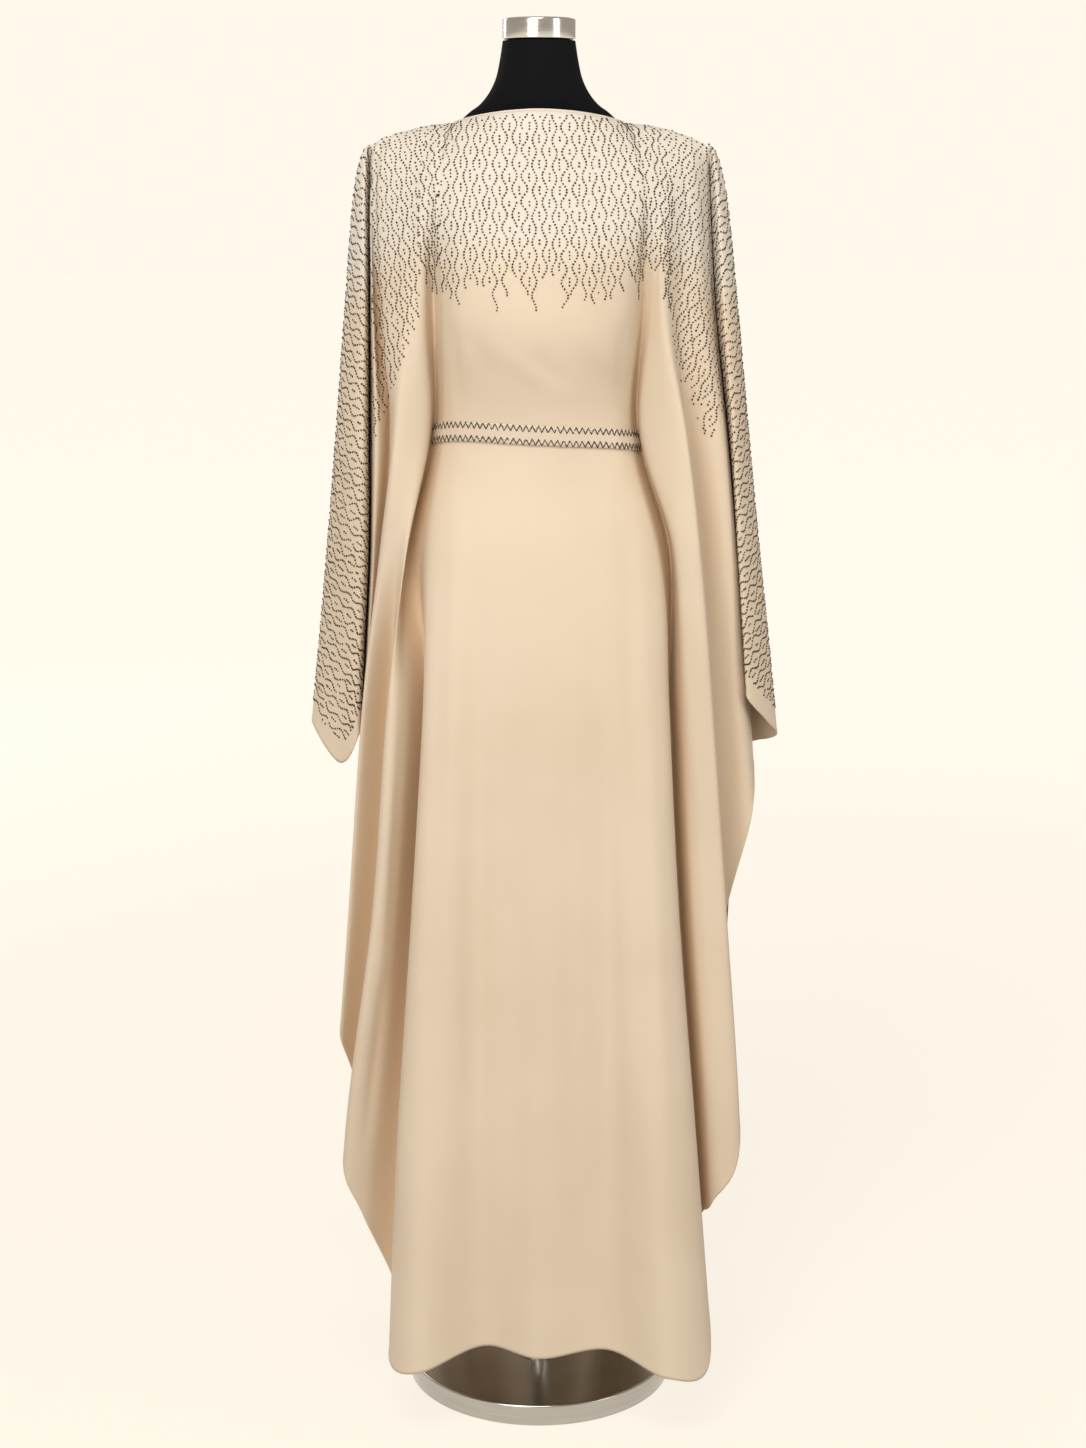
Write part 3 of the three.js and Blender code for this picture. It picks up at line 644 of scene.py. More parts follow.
# %% Front and back
CREASES = {
    "front_panel": [
        # the shoulder tuck: a raised lip and a thin trough that curves down to the slit
        (-152, 1510, -172, 1492, 5, 3.5), (-168, 1502, -186, 1466, 3.5, 3),
        (-160, 1502, -176, 1484, 2, -3),
        (-172, 1492, -186, 1460, 2, -3.5), (-182, 1474, -189, 1436, 2, -3.5),
        (-186, 1440, -177, 1190, 2.5, -4),
        # bodice: the cloth is drawn from the bust to the waist
        (-12, 1262, 30, 1222, 10, -1.3), (40, 1290, 92, 1236, 12, 1.2), (-86, 1290, -40, 1224, 12, -1.0),
        (-60, 1276, 44, 1206, 10, 1.0), (-96, 1300, -88, 1190, 7, -2), (92, 1300, 90, 1190, 8, -2),
        # skirt: long soft ridges and troughs from the belt
        (-92, 1120, -104, 300, 12, 3.2), (-66, 1040, -78, 160, 12, -3.4), (14, 900, 22, 130, 16, 2.6),
        (40, 980, 58, 200, 11, 3), (-20, 960, -30, 180, 12, -1.8), (-44, 860, -52, 120, 10, 2.2),
        (94, 1130, 122, 420, 12, -3.0), (112, 1060, 150, 240, 10, 2.6), (74, 900, 92, 130, 11, -3.4),
        # falls beside the skirt
        (-176, 560, -206, 330, 7, -2.5), (-162, 900, -186, 520, 6, 2), (186, 900, 214, 480, 7, -2.2),
        (150, 1120, 176, 760, 6, 2), (206, 1000, 232, 640, 9, -2.5), (-168, 1290, -186, 1050, 6, 2),
    ],
    "back_panel": [
        (-70, 1410, -30, 1250, 16, -2.4), (60, 1420, 24, 1240, 16, -2.2), (-20, 1220, 16, 1160, 14, 2),
        (-60, 1110, -84, 240, 14, 2.8), (-20, 1020, -26, 160, 16, -2.4), (30, 1090, 40, 200, 15, 2.6),
        (84, 1080, 116, 300, 13, -2.6), (-112, 1130, -150, 360, 12, -3), (150, 1200, 190, 760, 10, 3),
        (-150, 1220, -180, 700, 10, 2.6),
    ],
}


front = lay_sheet("front_panel", front_lines, -1, CREASES["front_panel"])
back = lay_sheet("back_panel", back_lines, 1, CREASES["back_panel"])

# %% [markdown]
# A sleeve's first and last lines are the panel's own seam, moved by the seam gap.


# %% Sleeves
def sleeve_lines(side):
    sign, seam = SIDES[side].sign, np.array(SIDES[side].seam[:6])
    tip = SHOULDER.tip_x
    cuff_level = level_of(SIDES[side].hem) * SIDES[side].cuff

    def seam_line(facing):
        return Facts(name="seam", side=side, on_shoulder=False, facing=facing, hem=cuff_level,
                    top=[sign * (tip + SLEEVE_TOP.gap), SHOULDER.seam_y + facing * SLIT.at_top,
                         shoulder_z(tip)],
                    x=sign * (seam + SEAM_GAP / 2), y=[facing * SLIT.most] * 6)

    lines = [seam_line(-1)]
    for number, row in enumerate(SLEEVES[side]):
        facing = -1 if number < 2 else 1
        x = tip + SLEEVE_TOP.gap + (SLEEVE_TOP.apex - tip - SLEEVE_TOP.gap) * row.top
        y = SHOULDER.seam_y + facing * SLIT.at_top * (1 - row.top)
        lines.append(Facts(name=row.name, on_shoulder=False, hem=level_of(row.hem),
                          top=[sign * x, y, shoulder_z(tip) + SLEEVE_TOP.rise * row.top],
                          x=sign * np.array(row.out), y=row.y))
    lines.append(seam_line(1))
    return lines[::-1] if side == "left" else lines


sleeve_left, sleeve_right = (
    lay_sheet("sleeve_" + side, sleeve_lines(side), slit_share=SIDES[side].cuff)
    for side in ("left", "right"))

# %% [markdown]
# The belt is a narrow satin band that shows between the two side folds. It follows the front just
# clear of the cloth, so its surface is the front's own, moved outwards.

# %% Belt
BELT = Facts(middle=1169.5, slope=-0.05, sag=9.0, reach=116, half=11.2, ends=0.3, off=1.0,
            crown=0.5, wall=0.8)
WAIST = 2          # the waist is the third of the section heights


def belt_points(rows=12, columns=220):
    names = [line.name for line in front_lines]
    low = names.index("waist valley") + BELT.ends
    high = len(names) - 1 - names[::-1].index("waist valley") - BELT.ends
    across = np.linspace(low, high, columns + 1)
    down = np.linspace(-1, 1, rows + 1)[:, None]
    x = smooth_curve([[line.x[WAIST]] for line in front_lines], across)[:, 0]
    z = BELT.middle + BELT.slope * x - BELT.sag * (x / BELT.reach) ** 6 - down * BELT.half
    levels = np.interp(-z, -LEVEL_Z, LEVELS)
    points = fold_surface(front_lines, across, levels)
    crown = BELT.off + BELT.crown * (1 - np.abs(down) ** 3)
    return points + outward(points) * (crown + BELT.wall)[..., None]


belt_grid = belt_points()
belt_cut = flat_cut(belt_grid, belt_grid.shape[1] // 2)
belt = sheet_mesh("cloth_belt", belt_grid, belt_cut, BELT.wall)
sheets["belt"] = Facts(points=belt_grid, cut=belt_cut, span=1)
print("belt", len(belt.data.polygons), "faces,", round(float(np.ptp(belt_cut[..., 0]))), "mm long")

# %% [markdown]
# The neckline's raw edge is closed with a narrow rolled binding. A torus is the natural start: its
# long way round becomes the neckline, and its short way becomes the binding's rounded section.

# %% Neck binding
BINDING = Facts(half_width=0.95, half_height=1.3, rise=0.7, inwards=0.8, squareness=0.8,
               segments=288, facets=14, span=12, stations=360, smoothing=6, tube=0.25)


def neckline():
    ring = []
    for lines in (front_lines, back_lines):
        across = columns_through(lines, BINDING.span)
        ring.append(top_edge(lines, across)[~on_shoulder_line(lines, across)])
    ring = np.concatenate(ring)
    closed = np.concatenate([ring, ring[:1]])
    run = np.concatenate([[0], np.cumsum(np.linalg.norm(np.diff(closed, axis=0), axis=1))])
    even = np.linspace(0, run[-1], BINDING.stations + 1)[:-1]
    ring = np.stack([np.interp(even, run, closed[:, k]) for k in range(3)], axis=1)
    for _ in range(BINDING.smoothing):
        ring = (np.roll(ring, 1, 0) + 2 * ring + np.roll(ring, -1, 0)) / 4
    return ring, run[-1]


def bind_neck():
    ring, length = neckline()
    bpy.ops.mesh.primitive_torus_add(
        major_segments=BINDING.segments, minor_segments=BINDING.facets,
        major_radius=1, minor_radius=BINDING.tube)
    piece = bpy.context.object
    piece.name = "binding_ring"
    co = np.array([v.co for v in piece.data.vertices])
    turn = (np.arctan2(co[:, 1], co[:, 0]) / (2 * math.pi)) % 1 * len(ring)
    ring = np.concatenate([ring[-1:], ring, ring[:2]])
    middle = smooth_curve(ring, turn + 1)
    ahead = smooth_curve(ring, turn + 1.5) - smooth_curve(ring, turn + 0.5)
    out = np.stack([ahead[:, 1], -ahead[:, 0]], axis=1)
    out /= np.linalg.norm(out, axis=1, keepdims=True)
    round_in = (np.hypot(co[:, 0], co[:, 1]) - 1) / BINDING.tube
    up = co[:, 2] / BINDING.tube
    place = middle.copy()
    place[:, :2] += out * (round_in * BINDING.half_width - BINDING.inwards)[:, None]
    place[:, 2] += (np.sign(up) * np.abs(up) ** BINDING.squareness * BINDING.half_height
                    + BINDING.rise)
    move_vertices(piece, place)
    bpy.ops.object.shade_smooth()
    return piece, length


binding, neck_length = bind_neck()
print("neckline", round(neck_length), "mm round")

# %% [markdown]
# ## The stand
# The form has no arms and no head: shoulders, a waist, a long neck and a polished cap. A sphere's
# rings are moved to the form's sections, which keeps it closed at both ends.

# %% Dress form
FORM = [
    # height, half width, depth in front, depth behind, power of the oval
    (780, 60, 50, 50, 2), (783, 96, 76, 76, 2), (800, 112, 88, 88, 2), (900, 126, 94, 98, 2),
    (980, 126, 92, 98, 2), (1060, 112, 84, 86, 2), (1167, 94, 72, 70, 2), (1250, 112, 84, 80, 2),
    (1330, 132, 98, 86, 2.1), (1390, 146, 90, 84, 2), (1440, 154, 78, 76, 1.9), (1470, 150, 66, 62, 1.6),
    (1485, 141, 58, 54, 1.45), (1496, 128, 51, 46, 1.35), (1502, 111, 46, 38, 1.25),
    (1505.6, 96.5, 43, 35, 1.2), (1508, 91, 42, 36, 1.25), (1513, 86, 42, 36, 1.4),
    (1521, 77, 42, 37, 1.65), (1529, 66, 42.2, 38.5, 1.85), (1542, 55.5, 42, 39.5, 2),
    (1558, 48, 41.5, 40, 2), (1578, 43.5, 41, 40.5, 2), (1598.7, 40.3, 40.3, 40.3, 2),
]
FORM_GRID = dict(segments=96, ring_count=118)


def dress_form():
    bpy.ops.mesh.primitive_uv_sphere_add(radius=1, **FORM_GRID)
    piece = bpy.context.object
    piece.name = "form_cover"
    co = np.array([v.co for v in piece.data.vertices])
    table = np.array([(FORM[0][0], 0, 0, 0, 2), *FORM, (FORM[-1][0], 0, 0, 0, 2)], float)
    polar = 1 - np.arccos(np.clip(co[:, 2], -1, 1)) / math.pi
    at = polar * (len(table) - 1)
    i = span_at(at, len(table))
    share = (at - i)[:, None]
    row = table[i] * (1 - share) + table[i + 1] * share
    smooth = smooth_curve(table[1:-1], np.clip(at - 1, 0, len(FORM) - 1))
    row = np.where((at[:, None] > 1) & (at[:, None] < len(table) - 2), smooth, row)
    angle = np.arctan2(co[:, 1], co[:, 0])
    cos, sin = np.cos(angle), np.sin(angle)
    power = 2 / row[:, 4]
    depth = np.where(sin < 0, row[:, 2], row[:, 3])
    place = np.stack([row[:, 1] * np.sign(cos) * np.abs(cos) ** power,
                      depth * np.sign(sin) * np.abs(sin) ** power, row[:, 0]], axis=1)
    move_vertices(piece, place)
    bpy.ops.object.shade_smooth_by_angle(angle=math.radians(50))
    return piece


form = dress_form()
print("form", len(form.data.polygons), "faces")

# %% [markdown]
# The pole, its flange, the base and the cap are turned metal. Cylinders with beveled rims have the
# crisp, slightly rounded edges that catch the light on polished steel.

# %% Turned metal
BASE = Facts(radius=161, height=26, edge=2.2)
FLANGE = Facts(radius=36, height=5, edge=1.2)
POLE = Facts(radius=12.2, edge=0.6)
CAP = Facts(radius=40.5, bottom=1599, top=1621, edge=1.6, rim=3.5, sunk=0.9)
FIT = 0.3          # the space between two fitted parts


def turned(name, radius, low, high, edge, vertices=160, segments=4):
    bpy.ops.mesh.primitive_cylinder_add(
        vertices=vertices, radius=radius * MM, depth=(high - low) * MM,
        location=(0, 0, (low + high) / 2 * MM))
    piece = bpy.context.object
    piece.name = name
    bpy.ops.object.transform_apply(location=True, rotation=True, scale=True)
    apply_modifier(piece, "BEVEL", width=edge * MM, segments=segments, limit_method="ANGLE",
                   angle_limit=math.radians(40))
    bpy.ops.object.shade_smooth_by_angle(angle=math.radians(35))
    return piece


def inset_top(piece, by, depth):
    """Steps the top face in, as on a turned part with a rim."""
    only(piece)
    bpy.ops.object.mode_set(mode="EDIT")
    bpy.ops.mesh.select_mode(type="FACE")
    bpy.ops.mesh.select_all(action="DESELECT")
    bpy.ops.object.mode_set(mode="OBJECT")
    top = max(p.center.z for p in piece.data.polygons)
    for p in piece.data.polygons:
        p.select = p.normal.z > 0.99 and abs(p.center.z - top) < 1e-5
    bpy.ops.object.mode_set(mode="EDIT")
    bpy.ops.mesh.inset(thickness=by * MM, depth=depth * MM)
    bpy.ops.object.mode_set(mode="OBJECT")


base = turned("base_plate", BASE.radius, 0, BASE.height, BASE.edge, 192)
low = BASE.height + FIT
flange = turned("pole_flange", FLANGE.radius, low, low + FLANGE.height, FLANGE.edge)
pole = turned("stand_pole", POLE.radius, low, FORM[0][0] - FIT, POLE.edge, 64, 2)
cap = turned("cap_disc", CAP.radius, CAP.bottom, CAP.top, CAP.edge)
inset_top(cap, CAP.rim, CAP.sunk)
print("stand", [len(p.data.polygons) for p in (base, flange, pole, cap)])

# %% [markdown]
# ## The stones
# The yoke and the sleeves carry thousands of small taupe stones, set in wavy lines that swing
# towards and away from each other, with a short row of stones in each wide cell. The pattern is
# laid out flat, as the maker draws it, and each stone is then carried to its place on the cloth. An
# instance for each stone would be lighter, but one mesh for each area is easier to hand on.

# %% One stone, and a mesh of many
STONE = Facts(radius=1.4, height=0.8, step=3.45, lift=0.25, sizes=(0.85, 1.15))


def stone_shape():
    """A flattened octahedron, modelled once."""
    bpy.ops.mesh.primitive_uv_sphere_add(segments=4, ring_count=2, radius=1)
    piece = bpy.context.object
    co = np.array([v.co for v in piece.data.vertices])
    faces = [list(p.vertices) for p in piece.data.polygons]
    bpy.data.objects.remove(piece)
    return co, faces


STONE_POINTS, STONE_FACES = stone_shape()


def stone_mesh(name, places, normals, sizes, turns):
    """Copies the stone to every place, standing along its normal."""
    normals = normals / np.linalg.norm(normals, axis=1, keepdims=True)
    side = np.cross(normals, [0.0, 0.0, 1.0])
    side /= np.maximum(np.linalg.norm(side, axis=1, keepdims=True), 1e-6)
    other = np.cross(normals, side)
    a = np.cos(turns)[:, None] * side + np.sin(turns)[:, None] * other
    b = np.cross(normals, a)
    local = STONE_POINTS * [STONE.radius, STONE.radius, STONE.height]
    co = (places[:, None] + sizes[:, None, None] * (
        local[None, :, :1] * a[:, None] + local[None, :, 1:2] * b[:, None]
        + local[None, :, 2:] * normals[:, None]))
    count = len(local)
    faces = [[v + n * count for v in f] for n in range(len(places)) for f in STONE_FACES]
    mesh = bpy.data.meshes.new(name)
    mesh.from_pydata((co.reshape(-1, 3) * MM).tolist(), [], faces)
    piece = bpy.data.objects.new(name, mesh)
    bpy.context.scene.collection.objects.link(piece)
    return piece


# %% [markdown]
# A ray shot down on the flat cut hits a triangle, and its corners give the point on the draped
# cloth. The falls are laid as seen from the front, because their folds hide most of the cut.

# %% From the flat cut to the cloth


class Cloth:
    """Finds the place in space of a point on a sheet's flat cut, or of one seen from the front."""

    def __init__(self, name, seen=False):
        points, cut = sheets[name].points, sheets[name].cut
        self.span = sheets[name].span
        self.columns = points.shape[1]
        self.points = points.reshape(-1, 3)
        self.normals = outward(points).reshape(-1, 3)
        self.cut = np.concatenate([cut.reshape(-1, 2), np.zeros((len(self.points), 1))], axis=1)
        if seen:
            self.cut = self.points[:, [0, 2, 1]] * (1, -1, -1) + (0, SHOULDER.neck_z, 0)
        rows = np.arange(points.shape[0] - 1)[:, None]
        a = (rows * self.columns + np.arange(self.columns - 1)).ravel()
        b, d, e = a + 1, a + self.columns, a + self.columns + 1
        self.triangles = np.concatenate([np.stack([a, d, e], 1), np.stack([a, e, b], 1)])
        self.tree = BVHTree.FromPolygons(self.cut.tolist(), self.triangles.tolist(),
                                         all_triangles=True)

    def find(self, h, v):
        """Place, normal and position across the folds, or None off the cloth."""
        hit, _, index, _ = self.tree.ray_cast(Vector((h, v, 900)), Vector((0, 0, -1)), 1800)
        if hit is None:
            return None
        corners = self.triangles[index]
        flat = [Vector(self.cut[k]) for k in corners]
        weights = geometry.barycentric_transform(hit, *flat, Vector((1, 0, 0)), Vector((0, 1, 0)),
                                                 Vector((0, 0, 1)))
        weights = np.array(weights)
        across = weights @ (corners % self.columns) / self.span
        return weights @ self.points[corners], weights @ self.normals[corners], across


# %% [markdown]
# Every second line swings the other way, so two neighbours open to ovals. Hand work is never exact:
# seeded dice give each line its own phase, swing and lean, and move each stone a little.

# %% The pattern
PATTERN = Facts(pitch=10.9, swing=2.7, wave=28.6, dot_gap=3.7)
DOTS = [3, 3, 3, 4, 2]        # how many stones stand in an oval, drawn by chance
UNEVEN = Facts(phase=0.26, swing=0.14, lean=0.6, lean_wave=0.37, start=2, closer=0.93,
              missing=0.02, stone=0.12, row=0.3, dot=0.15)
CLEAR = Facts(before=2, after=6)      # cloth left free of dots at a line's start and end


def wavy_stones(rng, s_range, t_range, ends):
    """Stones of the pattern between two s and two t, where ends(s) gives a line's last t."""
    pitch, swing, wave = PATTERN.pitch, PATTERN.swing, PATTERN.wave
    first, last = math.floor(s_range[0] / pitch), math.ceil(s_range[1] / pitch)
    found = []

    def wobble(kind, count=None):
        return rng.normal(0, UNEVEN[kind], count)

    for k in range(first, last + 1):
        sign = 1 if k % 2 == 0 else -1
        phase, size, lean = wobble("phase"), swing * (1 + wobble("swing")), wobble("lean")
        t = np.arange(t_range[0] + rng.uniform(0, UNEVEN.start), t_range[1],
                      STONE.step * UNEVEN.closer)
        angle = 2 * math.pi * t / wave + phase
        s = k * pitch + sign * size * np.sin(angle) + lean * np.sin(angle * UNEVEN.lean_wave)
        limit = ends(k * pitch)
        keep = (t < limit) & (rng.random(len(t)) > UNEVEN.missing)
        found.append(np.stack([s, t], 1)[keep] + wobble("stone", (keep.sum(), 2)))
        for n in range(math.floor(t_range[0] / wave), math.ceil(t_range[1] / wave) + 1):
            middle = (n + (0.75 if sign > 0 else 0.25)) * wave
            count = rng.choice(DOTS)
            dots = middle + (np.arange(count) - (count - 1) / 2) * PATTERN.dot_gap
            wide = np.full(count, (k + 0.5) * pitch) + wobble("row")
            last_dot = min(limit, ends((k + 1) * pitch)) - CLEAR.after
            here = (dots < last_dot) & (dots > t_range[0] + CLEAR.before)
            found.append(np.stack([wide, dots], 1)[here] + wobble("dot", (here.sum(), 2)))
    return np.concatenate(found)


def on_cloth(cloth, h, v, lift):
    """Place, normal and position across the folds of every stone that falls on the cloth."""
    for found in map(cloth.find, h, v):
        if found:
            yield found[0] + found[1] * lift, *found


def lay_stones(name, regions):
    """Each region has its cloth and seed, the pattern's turn in degrees, squeeze and origin, its
    ranges of s and t, where its lines end, the folds it may cover, and a rule for what is kept."""
    places, normals = [], []
    for region in regions:
        rng = np.random.default_rng(region.seed)
        turn = math.radians(region.turn)
        h0, v0 = region.origin
        stones = wavy_stones(rng, region.s, region.t, region.ends(rng))
        stones[:, 0] *= region.get("squeeze", 1)
        h = h0 + stones[:, 0] * math.cos(turn) + stones[:, 1] * math.sin(turn)
        v = v0 - stones[:, 0] * math.sin(turn) + stones[:, 1] * math.cos(turn)
        low, high = region.folds
        keep = region.get("keep", lambda *place: True)
        for lifted, place, normal, fold_position in on_cloth(region.cloth, h, v, STONE.lift):
            if low <= fold_position <= high and keep(*place):
                places.append(lifted)
                normals.append(normal)
    rng = np.random.default_rng(len(places))
    sizes = rng.uniform(*STONE.sizes, len(places))
    turns = rng.uniform(0, 2 * math.pi, len(places))
    piece = stone_mesh(name, np.array(places), np.array(normals), sizes, turns)
    print(name, len(places), "stones")
    return piece


# %% [markdown]
# The yoke ends in uneven tails on the bodice and on a slanting line across each fall.

# %% Stones of the front
TAILS = Facts(drops=[0, 4, 10, 16, 24, 30, 34], full=30, uneven=3, lines=400)


def fold_at(lines, name, side):
    return next(i for i, line in enumerate(lines) if line.name == name and line.side == side)


def tails(level, longest):
    """Uneven tails: some lines end at the level, and others hang on below it."""
    def make(rng):
        drops = rng.choice(TAILS.drops, TAILS.lines)
        drops = drops + rng.uniform(-TAILS.uneven, TAILS.uneven, TAILS.lines)
        return lambda s: level + (drops[int(s / PATTERN.pitch) % TAILS.lines]
                                  * longest / TAILS.full)
    return make


def no_end(rng):
    return lambda s: 1e9


def above_slant(x0, z0, slope, ripple=0, beat=0):
    """Keeps what lies above a slanting line through a point, which may ripple."""
    return lambda x, y, z: z > z0 + (x - x0) * slope + ripple * math.sin(x * beat)


YOKE_START = 7.0
YOKE_EDGE = 0.4      # the yoke runs this share of a span past the falls' edges
SLIT_EDGE = 0.05     # and the falls' pattern stops this share before the slit
left_edge = fold_at(front_lines, "fall edge", "left") - YOKE_EDGE
right_edge = fold_at(front_lines, "fall edge", "right") + YOKE_EDGE
last_fold = len(front_lines) - 1 - SLIT_EDGE
front_seen = Cloth("front_panel", seen=True)
yoke_stones = lay_stones("stones_front", [
    Facts(cloth=Cloth("front_panel"), seed=11, turn=0, origin=(6, 0), s=(-220, 220),
         t=(YOKE_START, 260), ends=tails(190, 32), folds=(left_edge, right_edge)),
    Facts(cloth=front_seen, seed=12, turn=14, squeeze=0.8, origin=(-152, 0), s=(-160, 120),
         t=(4, 460), ends=no_end, folds=(SLIT_EDGE, left_edge), keep=above_slant(-192, 1145, 2.6)),
    Facts(cloth=front_seen, seed=13, turn=-24, squeeze=0.85, origin=(150, 0), s=(-200, 200),
         t=(-30, 460), ends=no_end, folds=(right_edge, last_fold),
         keep=above_slant(158, 1236, -2.06, ripple=14, beat=0.9)),
])

# %% [markdown]
# The back's yoke hangs lower on the wings. On a sleeve the pattern runs down and outwards, and
# leaves the cuff plain.

# %% Stones of the back and the sleeves
BACK_WING = Facts(start=150, fall=2.1)      # out from here the tails hang lower, as on the front
SLEEVE_PATTERN = Facts(turn=64, squeeze=1.2, s=(-60, 760), t=(-160, 400), plain_cuff=26)


def back_tails(rng):
    middle = tails(150, 30)(rng)
    return lambda s: middle(s) + BACK_WING.fall * max(abs(s) - BACK_WING.start, 0)


back_stones = lay_stones("stones_back", [
    Facts(cloth=Cloth("back_panel"), seed=21, turn=0, origin=(0, 0), s=(-330, 330),
         t=(YOKE_START, 420), ends=back_tails, folds=(0.1, len(back_lines) - 1.1)),
])


def sleeve_stones(side, seed):
    name = "sleeve_" + side
    sign = SIDES[side].sign
    hems = sheets[name].points[-1]

    def above_cuff(x, y, z):
        near = int(np.argmin(np.hypot(hems[:, 0] - x, hems[:, 1] - y)))
        return z > hems[near, 2] + SLEEVE_PATTERN.plain_cuff

    return lay_stones("stones_" + name, [
        Facts(cloth=Cloth(name), seed=seed, turn=-sign * SLEEVE_PATTERN.turn, origin=(0, 0),
             squeeze=SLEEVE_PATTERN.squeeze, s=sorted(sign * s for s in SLEEVE_PATTERN.s),
             t=SLEEVE_PATTERN.t, ends=no_end, folds=(0.12, 5.88), keep=above_cuff)])


left_stones = sleeve_stones("left", 31)
right_stones = sleeve_stones("right", 32)

# %% [markdown]
# The belt has a zigzag of smaller stones near each edge, walked at an even step.

# %% Stones of the belt
ZIGZAG = Facts(pitch=7.0, half=3.4, step=1.5, rows=(-7.6, 7.2), missing=0.03, uneven=0.12,
              lift=0.2, sizes=(0.6, 0.8), turns=(0, 6.28))


def belt_stones():
    cloth = Cloth("belt")
    rng = np.random.default_rng(41)
    span = float(np.abs(belt_cut[..., 0]).max())
    mid = float(belt_cut[..., 1].max()) / 2
    places, normals = [], []
    slant = math.hypot(ZIGZAG.pitch / 2, 2 * ZIGZAG.half)
    for row in ZIGZAG.rows:
        run = np.arange(0, 2 * span / (ZIGZAG.pitch / 2) * slant, ZIGZAG.step)
        h = run / slant * ZIGZAG.pitch / 2 - span
        leg = (run / slant) % 2
        v = mid + row + (np.abs(leg - 1) * 2 - 1) * ZIGZAG.half
        keep = rng.random(len(h)) >= ZIGZAG.missing
        h, v = (line + rng.normal(0, ZIGZAG.uneven, len(line)) for line in (h, v))
        for lifted, _, normal, _ in on_cloth(cloth, h[keep], v[keep], ZIGZAG.lift):
            places.append(lifted)
            normals.append(normal)
    sizes = rng.uniform(*ZIGZAG.sizes, len(places))
    piece = stone_mesh("stones_belt", np.array(places), np.array(normals), sizes,
                       rng.uniform(*ZIGZAG.turns, len(places)))
    print("belt", len(places), "stones")
    return piece


zigzags = belt_stones()

# %% [markdown]
# ## Finishes
# Crepe is a matte cloth with a fine pebbled face and a soft sheen. Its threads are far below a
# millimetre, so they are a bump on the flat cut. Light that leaves a deep fold has touched other
# cloth first and is warmer and dimmer, so the sheets' fold depth leads a painted shade, warm and
# darker. Near the top edge the cloth is painted paler, as painted light from above on the yoke.

# %% Crepe and satin
# painted shade: deep folds get this darker, warmer colour, standing in for shade and light bounced between
# the cloth
PAINTED_FOLD_SHADE = (0.60, 0.435, 0.28, 1)
FOLD_SHADE_DEPTH = (0.32, 0.85)        # from the fold depth where the painted shade starts to where it is full
PAINTED_TOP_LIGHT_FADE = (0.13, 0.20)         # metres down from the top edge over which the painted light from above, a paler cloth, ends
THREAD = Facts(across=0.0007, down=0.0008, relief=0.00022)


def crepe(name, dark, light, top, rough, pebble):
    """Cloth from its two colours, its top colour painted paler as if lit from above, its roughness and its
    bump's strength.
    """
    finish = Finish(name, Sheen_Weight=0.12, Sheen_Roughness=0.45, Specular_IOR_Level=0.35)
    across, down = finish.flat()
    pebbles = finish.noise(finish.stretch(finish.cut(), (1400, 1100, 1)))
    threads = across.wave(THREAD.across) * down.wave(THREAD.down)
    cloudy = finish.noise(finish.place(), 5.0, 3.0)
    tone = cloudy.between(0.35, 0.65) * 0.6 + pebbles * 0.25 + threads * 0.15
    cloth = finish.blend(tone, dark, light)
    depth = finish.node("ShaderNodeAttribute", {"attribute_name": "fold_depth"}, output="Fac")
    # painted shade in the deep folds
    fold_shaded = finish.blend(depth.between(*FOLD_SHADE_DEPTH), cloth, PAINTED_FOLD_SHADE)
    # painted light: the cloth near the top edge takes the paler top colour, as if lit from above
    top_lit = finish.blend(down.between(*PAINTED_TOP_LIGHT_FADE), top, fold_shaded)
    finish.link(Base_Color=top_lit, Roughness=rough + pebbles * 0.12)
    return finish.bump(pebbles * 0.7 + threads * 0.3, THREAD.relief, pebble)


# the crepe's top colour is painted light from above on the yoke; the belt lies wholly above the fade, so
# its top colour is the belt's own
CREPE = crepe("crepe", dark=(0.62, 0.508, 0.382, 1), light=(0.68, 0.568, 0.437, 1),
              top=(0.67, 0.61, 0.525, 1), rough=0.5, pebble=0.6)
BELT_SATIN = crepe("belt_satin", dark=(0.60, 0.50, 0.385, 1), light=(0.66, 0.55, 0.43, 1),
                   top=(0.64, 0.535, 0.42, 1), rough=0.45, pebble=0.3)
print("crepe", len(CREPE.tree.nodes), "nodes, satin", len(BELT_SATIN.tree.nodes))

# %% [markdown]
# The stones are dull brown glass. The form's black jersey reflects almost nothing. The cap is
# polished, and the stand is brushed and smudged, so that neither metal is a perfect mirror.

# %% Stones, form and metal
STONES = Finish("taupe_stone", Metallic=0.1, Roughness=0.45, Specular_IOR_Level=0.3)
tint = STONES.noise(STONES.place(), 420.0, 0.0)
STONES.link(Base_Color=STONES.blend(tint.between(0.35, 0.65), (0.022, 0.017, 0.010, 1),
                                    (0.060, 0.046, 0.029, 1)))


def grained(name, scale, dark, light, rough, relief, strength, **uniform):
    """A fine grain, stretched by scale, leads the colour, the roughness and the bump."""
    finish = Finish(name, **uniform)
    grain = finish.noise(finish.stretch(finish.place(), scale))
    finish.link(Base_Color=finish.blend(grain, dark, light), Roughness=grain * rough[0] + rough[1])
    return finish.bump(grain, relief, strength), grain


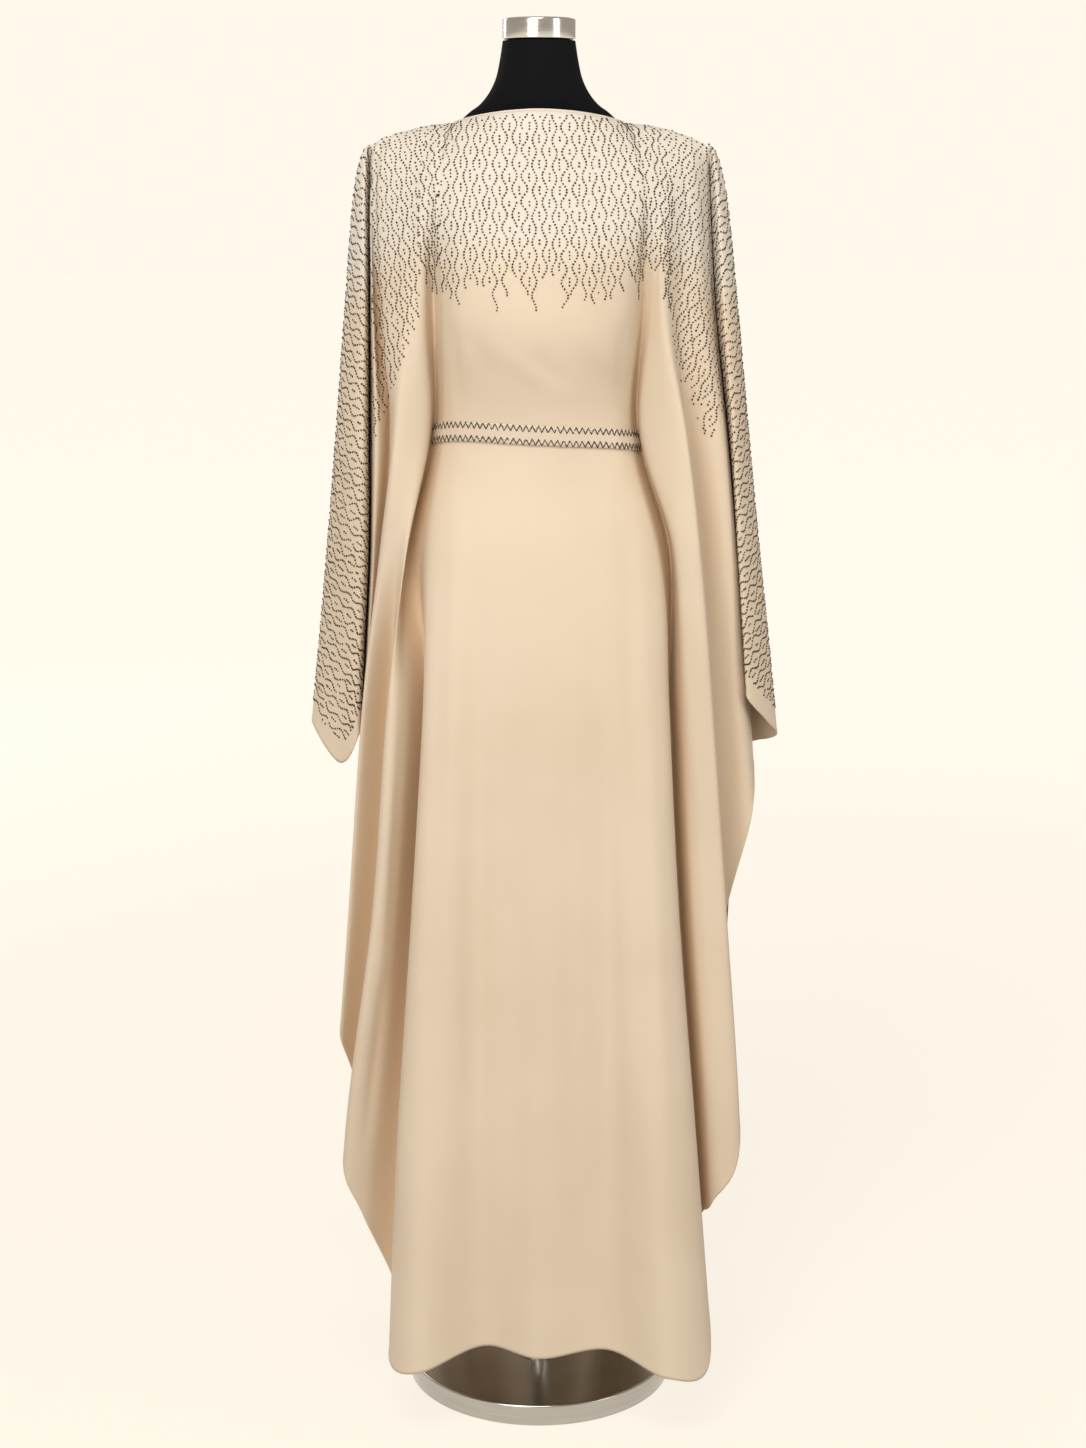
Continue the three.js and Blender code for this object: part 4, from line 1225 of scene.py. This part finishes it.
JERSEY, _ = grained("form_jersey", (1500, 1500, 700), (0.002, 0.002, 0.0025, 1),
                    (0.006, 0.006, 0.007, 1), (0.1, 0.82), 0.0003, 0.6, Specular_IOR_Level=0.1)
CHROME, _ = grained("cap_chrome", (30, 30, 1200), (0.62, 0.60, 0.57, 1),
                    (0.78, 0.76, 0.73, 1), (0.1, 0.12), 0.00004, 0.5, Metallic=1.0)
STEEL, brushed = grained("stand_steel", (12, 12, 1500), (0.40, 0.38, 0.355, 1),
                         (0.56, 0.54, 0.51, 1), (0.08, 0.1), 0.00003, 0.5, Metallic=1.0)
smudge = STEEL.noise(STEEL.place(), 14.0)
STEEL.link(Roughness=brushed * 0.08 + smudge * 0.1 + 0.1)
print("finishes", [f.material.name for f in (CREPE, BELT_SATIN, STONES, JERSEY, CHROME, STEEL)])

# %% [markdown]
# Every piece gets its finish, and the node of the imported model that it stands for is hidden.

# %% Finish and place in the frame
PIECES = [
    # piece, finish, slot, replaced node
    (front, CREPE, "crepe", "front_panel"), (back, CREPE, "crepe", "back_panel"),
    (sleeve_left, CREPE, "crepe", "sleeve_left"), (sleeve_right, CREPE, "crepe", "sleeve_right"),
    (binding, CREPE, "crepe", "neck_binding"), (belt, BELT_SATIN, "belt_satin", "belt"),
    (form, JERSEY, "form_cloth", "form_torso"), (cap, CHROME, "cap_chrome", "neck_cap"),
    (pole, STEEL, "stand_steel", "pole"), (flange, STEEL, "stand_steel", "flange"),
    (base, STEEL, "stand_steel", "base_disc"),
    (yoke_stones, STONES, "crepe", None), (back_stones, STONES, "crepe", None),
    (left_stones, STONES, "crepe", None), (right_stones, STONES, "crepe", None),
    (zigzags, STONES, "belt_satin", None),
]
for piece, finish, slot, node in PIECES:
    piece.data.materials.clear()
    piece.data.materials.append(finish.material)
    if node:
        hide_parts(node)
    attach(piece, "root")
print(len(PIECES), "pieces,", sum(len(p.data.polygons) for p, *_ in PIECES), "faces")

# %% [markdown]
# A sheet is listed as a maker would cut it, with what holds it and which stones it carries; its cut's size
# and area are printed.


# %% The sheets' flat cuts
def flat_size(name):
    """Width and length of the cut, and its area, in metres."""
    cut, points = sheets[name].cut, sheets[name].points
    return [float(np.ptp(cut[..., k])) * MM for k in (0, 1)], sheet_area(points)


SHEETS = [
    (front, "draped", ["form_torso", "back_panel"], [yoke_stones]),
    (back, "draped", ["form_torso", "front_panel"], [back_stones]),
    (sleeve_left, "hung", ["front_panel", "back_panel"], [left_stones]),
    (sleeve_right, "hung", ["front_panel", "back_panel"], [right_stones]),
    (belt, "stretched", ["front_panel"], [zigzags]),
]
for piece, held, rests_on, extras in SHEETS:
    size, area = flat_size(piece.name.removeprefix("cloth_"))
    print(piece.name, "cut", [round(s, 3) for s in size], "m, area", round(area, 4), "m2")
